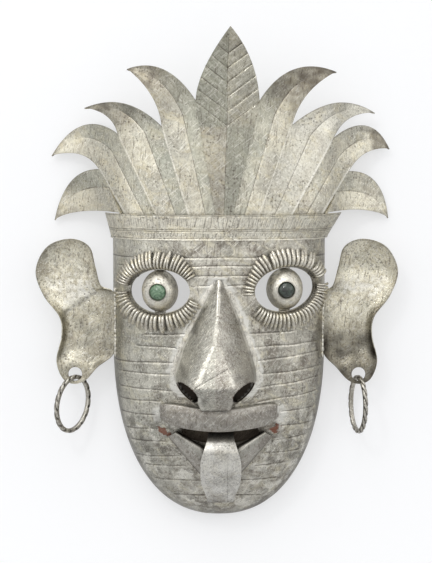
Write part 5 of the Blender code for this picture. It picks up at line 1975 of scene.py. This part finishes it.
@dataclass
class EarRing:
    """An oval loop of squarish wire with slanting chisel notches."""

    side: Side
    wire: float = 4.0 * MM
    half_height: float = 22.2 * MM
    half_width: float = 15.2 * MM
    notch_pitch: float = 6.6 * MM
    notch: float = 0.85 * MM
    corner_power: float = 3.4
    around: int = 200
    section: int = 20

    LEAN = {Side.LEFT: -14.0, Side.RIGHT: 0.0}

    def build(self, joint: dict) -> None:
        """Model and dress the ring about its hinge.

        Args:
            joint: The record's joint, with its place and axis.
        """
        obj = Bench.add(
            f"notched_ring_{self.side.word}", bpy.ops.mesh.primitive_torus_add, major_segments=self.around,
            minor_segments=self.section, major_radius=1.0, minor_radius=0.1)
        points = Bench.points(obj)
        turn = np.arctan2(points[:, 1], points[:, 0])
        radial = np.hypot(points[:, 0], points[:, 1]) - 1.0
        around = np.arctan2(points[:, 2], radial)
        lean = math.radians(self.LEAN[self.side])
        c, s = math.cos(lean), math.sin(lean)
        top = math.hypot(self.half_height * c, self.half_width * s)
        shift = (self.half_height ** 2 - self.half_width ** 2) * s * c / top
        spot = np.stack([self.half_width * np.cos(turn), self.half_height * np.sin(turn)], axis=1)
        away = np.stack([np.cos(turn) / self.half_width, np.sin(turn) / self.half_height], axis=1)
        away /= np.linalg.norm(away, axis=1, keepdims=True)
        # Squarish section with rounded corners, notched aslant across its outer faces
        power = self.corner_power
        square = (np.abs(np.cos(around)) ** power + np.abs(np.sin(around)) ** power) ** (-1.0 / power)
        run = turn * 0.5 * (self.half_width + self.half_height) + 0.9 * self.wire * np.sin(around)
        beat = (run / self.notch_pitch) % 1.0 - 0.5
        cut = ridge(beat * self.notch_pitch, 0.85 * MM) * smooth(1.4 * np.cos(around) + 0.9)
        radius = self.wire / 2.0 * 0.93 * square - self.notch * cut
        plane = spot + away * (radius * np.cos(around))[:, None]
        turned = np.stack([c * plane[:, 0] - s * plane[:, 1], s * plane[:, 0] + c * plane[:, 1]], axis=1)
        axis = Vector(joint["axis"]).normalized()
        up = Vector((0.0, 0.0, 1.0))
        side = up.cross(axis)
        local = xyz(turned[:, 0] + shift, radius * np.sin(around), turned[:, 1] - top)
        points = np.array(joint["pos_m"]) + local @ np.array([axis, side, up])
        Bench.move(obj, points)
        # Painted glint on the corners of the wire, and the notches darkened
        Bench.paint(obj, grime=np.minimum(1.4 * cut, 0.95), polish=0.45 * smooth((square - 1.05) / 0.1))
        Bench.turn_out(obj)
        Bench.shade(obj, 60.0)
        Bench.hang(obj, f"ring_{self.side.word}", "notched_wire", Looks.of(RING_WIRE), f"ear_ring_{self.side.word}")


@dataclass
class BackPieces:
    """The hanging strap, the cup behind the mouth and the strips behind the eyes, kept as the CAD has them."""

    # The cup behind the mouth is a dark sheet standing for the shade inside the mouth
    FINISHES = {
        "hanging_strap": DULL_SHEET, "mouth_cup": MOUTH_SHADE_SHEET,
        "eye_strip_left": EYE_SHEET, "eye_strip_right": EYE_SHEET}

    def dress(self, frame: dict) -> None:
        """Give the hidden pieces their finishes.

        Args:
            frame: The loaded frame, with its nodes.
        """
        for name, finish in self.FINISHES.items():
            obj = frame["nodes"][name]
            obj.data.materials.clear()
            obj.data.materials.append(Looks.of(finish))
            LOG.info("%s: dressed", name)


@dataclass
class Studio:
    """A white wall and pale floor, soft light from above, and the camera."""

    target: tuple[float, float, float] = (-0.0024, -0.040, -0.0252)
    distance: float = 1.2
    elevation: float = 5.0
    lens: float = 95.9
    wall_y: float = 2.0 * MM
    floor_z: float = -0.55
    self_lit: float = 0.52
    mirror_lit: float = 0.25
    front_lit: float = 0.38
    run: float = 4.6
    wall_run: float = 2.2
    sweep: float = 0.35
    width: float = 6.0

    # Each lamp's name, place, size in metres and power in watts
    LAMPS = (
        ("soft_box_above", (-0.25, -0.75, 1.15), 0.9, 3.3),
        ("small_lamp", (-0.45, -1.0, 0.75), 0.14, 1.5),
        ("soft_box_left", (-1.3, -0.9, 0.25), 1.0, 1.5),
        ("soft_box_right", (1.4, -0.8, 0.35), 0.9, 1.8),
    )

    def backdrop(self) -> None:
        """A wall that turns into the floor in one sweep; seen from behind, the wall is clear."""
        obj, across, up = Bench.grid("backdrop", 2, 24)
        run = up * self.run
        arc = 0.5 * np.pi * self.sweep
        low = np.clip((self.wall_run - run) / arc, 0.0, 1.0) * 0.5 * np.pi
        y = self.wall_y - self.sweep * (1.0 - np.cos(low)) - np.clip(self.wall_run - arc - run, 0.0, None)
        z = self.floor_z + self.sweep * (1.0 - np.sin(low)) + np.clip(run - self.wall_run, 0.0, None)
        Bench.lay(obj, xyz(self.width * (across - 0.5), y, z))
        Bench.shade(obj, 80.0)
        # White paper: even and matt, with no highlight, only the mask's soft shadow
        look = bpy.data.materials.new("white_paper")
        look.use_nodes = True
        node = partial(add_node, look.node_tree)
        shader = look.node_tree.nodes["Principled BSDF"]
        shader.inputs["Base Color"].default_value = linear("b3b4b6")
        shader.inputs["Roughness"].default_value = 0.9
        shader.inputs["Specular IOR Level"].default_value = 0.0
        shader.inputs["Emission Color"].default_value = linear("ffffff")
        path = node("ShaderNodeLightPath").node.outputs
        seen = node("ShaderNodeMath", {0: path["Is Camera Ray"], 1: path["Is Transmission Ray"]}, operation="MAXIMUM")
        mirrored = node("ShaderNodeMath", {0: path["Is Glossy Ray"], 1: self.mirror_lit}, operation="MULTIPLY")
        glow = node("ShaderNodeMath", {0: seen, 1: self.self_lit, 2: mirrored}, operation="MULTIPLY_ADD")
        mixed = node("ShaderNodeMixShader", {
            0: node("ShaderNodeNewGeometry", {}, "Backfacing"), 1: shader.outputs["BSDF"],
            2: node("ShaderNodeBsdfTransparent")})
        look.node_tree.links.new(glow, shader.inputs["Emission Strength"])
        look.node_tree.links.new(mixed, look.node_tree.nodes["Material Output"].inputs["Surface"])
        obj.data.materials.append(look)

    def lamp(self, name: str, place: tuple[float, float, float], size: float, power: float) -> None:
        """Add one square soft box that looks at the mask.

        Args:
            name: Its name.
            place: Where it stands.
            size: Its width in metres.
            power: Its power in watts.
        """
        bpy.ops.object.light_add(type="AREA", location=place)
        lamp = bpy.context.active_object
        lamp.name = name
        lamp.data.size = size
        lamp.data.energy = power
        lamp.rotation_euler = (Vector(self.target) - Vector(place)).to_track_quat("-Z", "Y").to_euler()

    def sky(self) -> None:
        """Soft light from all round, strongest from above and from the camera's side."""
        world = bpy.data.worlds.new("soft_box")
        bpy.context.scene.world = world
        world.use_nodes = True
        node = partial(add_node, world.node_tree)
        way = node("ShaderNodeSeparateXYZ", {"Vector": node("ShaderNodeTexCoord", {}, "Generated")}).node.outputs
        level, front = (
            node("ShaderNodeMapRange", inputs, interpolation_type="SMOOTHSTEP") for inputs in (
                {0: way["Z"], 1: -0.7, 2: 0.6, 3: 0.15, 4: 0.95}, {0: way["Y"], 1: -0.25, 2: -0.95, 4: self.front_lit}))
        level = node("ShaderNodeMath", {0: level, 1: front}, operation="ADD")
        shown = node("ShaderNodeMix", {0: node("ShaderNodeLightPath", {}, "Is Camera Ray"), 2: level, 3: 1.0})
        back = world.node_tree.nodes["Background"]
        back.inputs["Color"].default_value = linear("ffffff")
        world.node_tree.links.new(shown, back.inputs["Strength"])

    def build(self) -> None:
        """Set up the backdrop, the lights and the camera."""
        self.backdrop()
        self.sky()
        for lamp in self.LAMPS:
            self.lamp(*lamp)
        lean = math.radians(self.elevation)
        back = Vector((0.0, -math.cos(lean), math.sin(lean)))
        bpy.ops.object.camera_add(location=Vector(self.target) + self.distance * back)
        camera = bpy.context.active_object
        camera.rotation_euler = (math.radians(90.0) - lean, 0.0, 0.0)
        camera.data.lens = self.lens
        bpy.context.scene.camera = camera
        bpy.context.scene.view_settings.view_transform = "Standard"


def main() -> None:
    """Load the frame, then build and dress every piece."""
    logging.basicConfig(level=logging.INFO, format="%(message)s")
    for obj in list(bpy.data.objects):
        bpy.data.objects.remove(obj)
    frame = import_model()
    Studio().build()
    FacePlate().build()
    Headband().build()
    Crown().build()
    NOSE.build()
    NoseSolder().build()
    Lips().build()
    Tongue().build()
    joints = {joint["name"]: joint for joint in frame["joints"]}
    for side in Side:
        Eye(side).build()
        Ear(side).build()
        EarRing(side).build(joints[f"ear_ring_{side.word}_swing"])
    BackPieces().dress(frame)


if __name__ == "__main__":
    main()
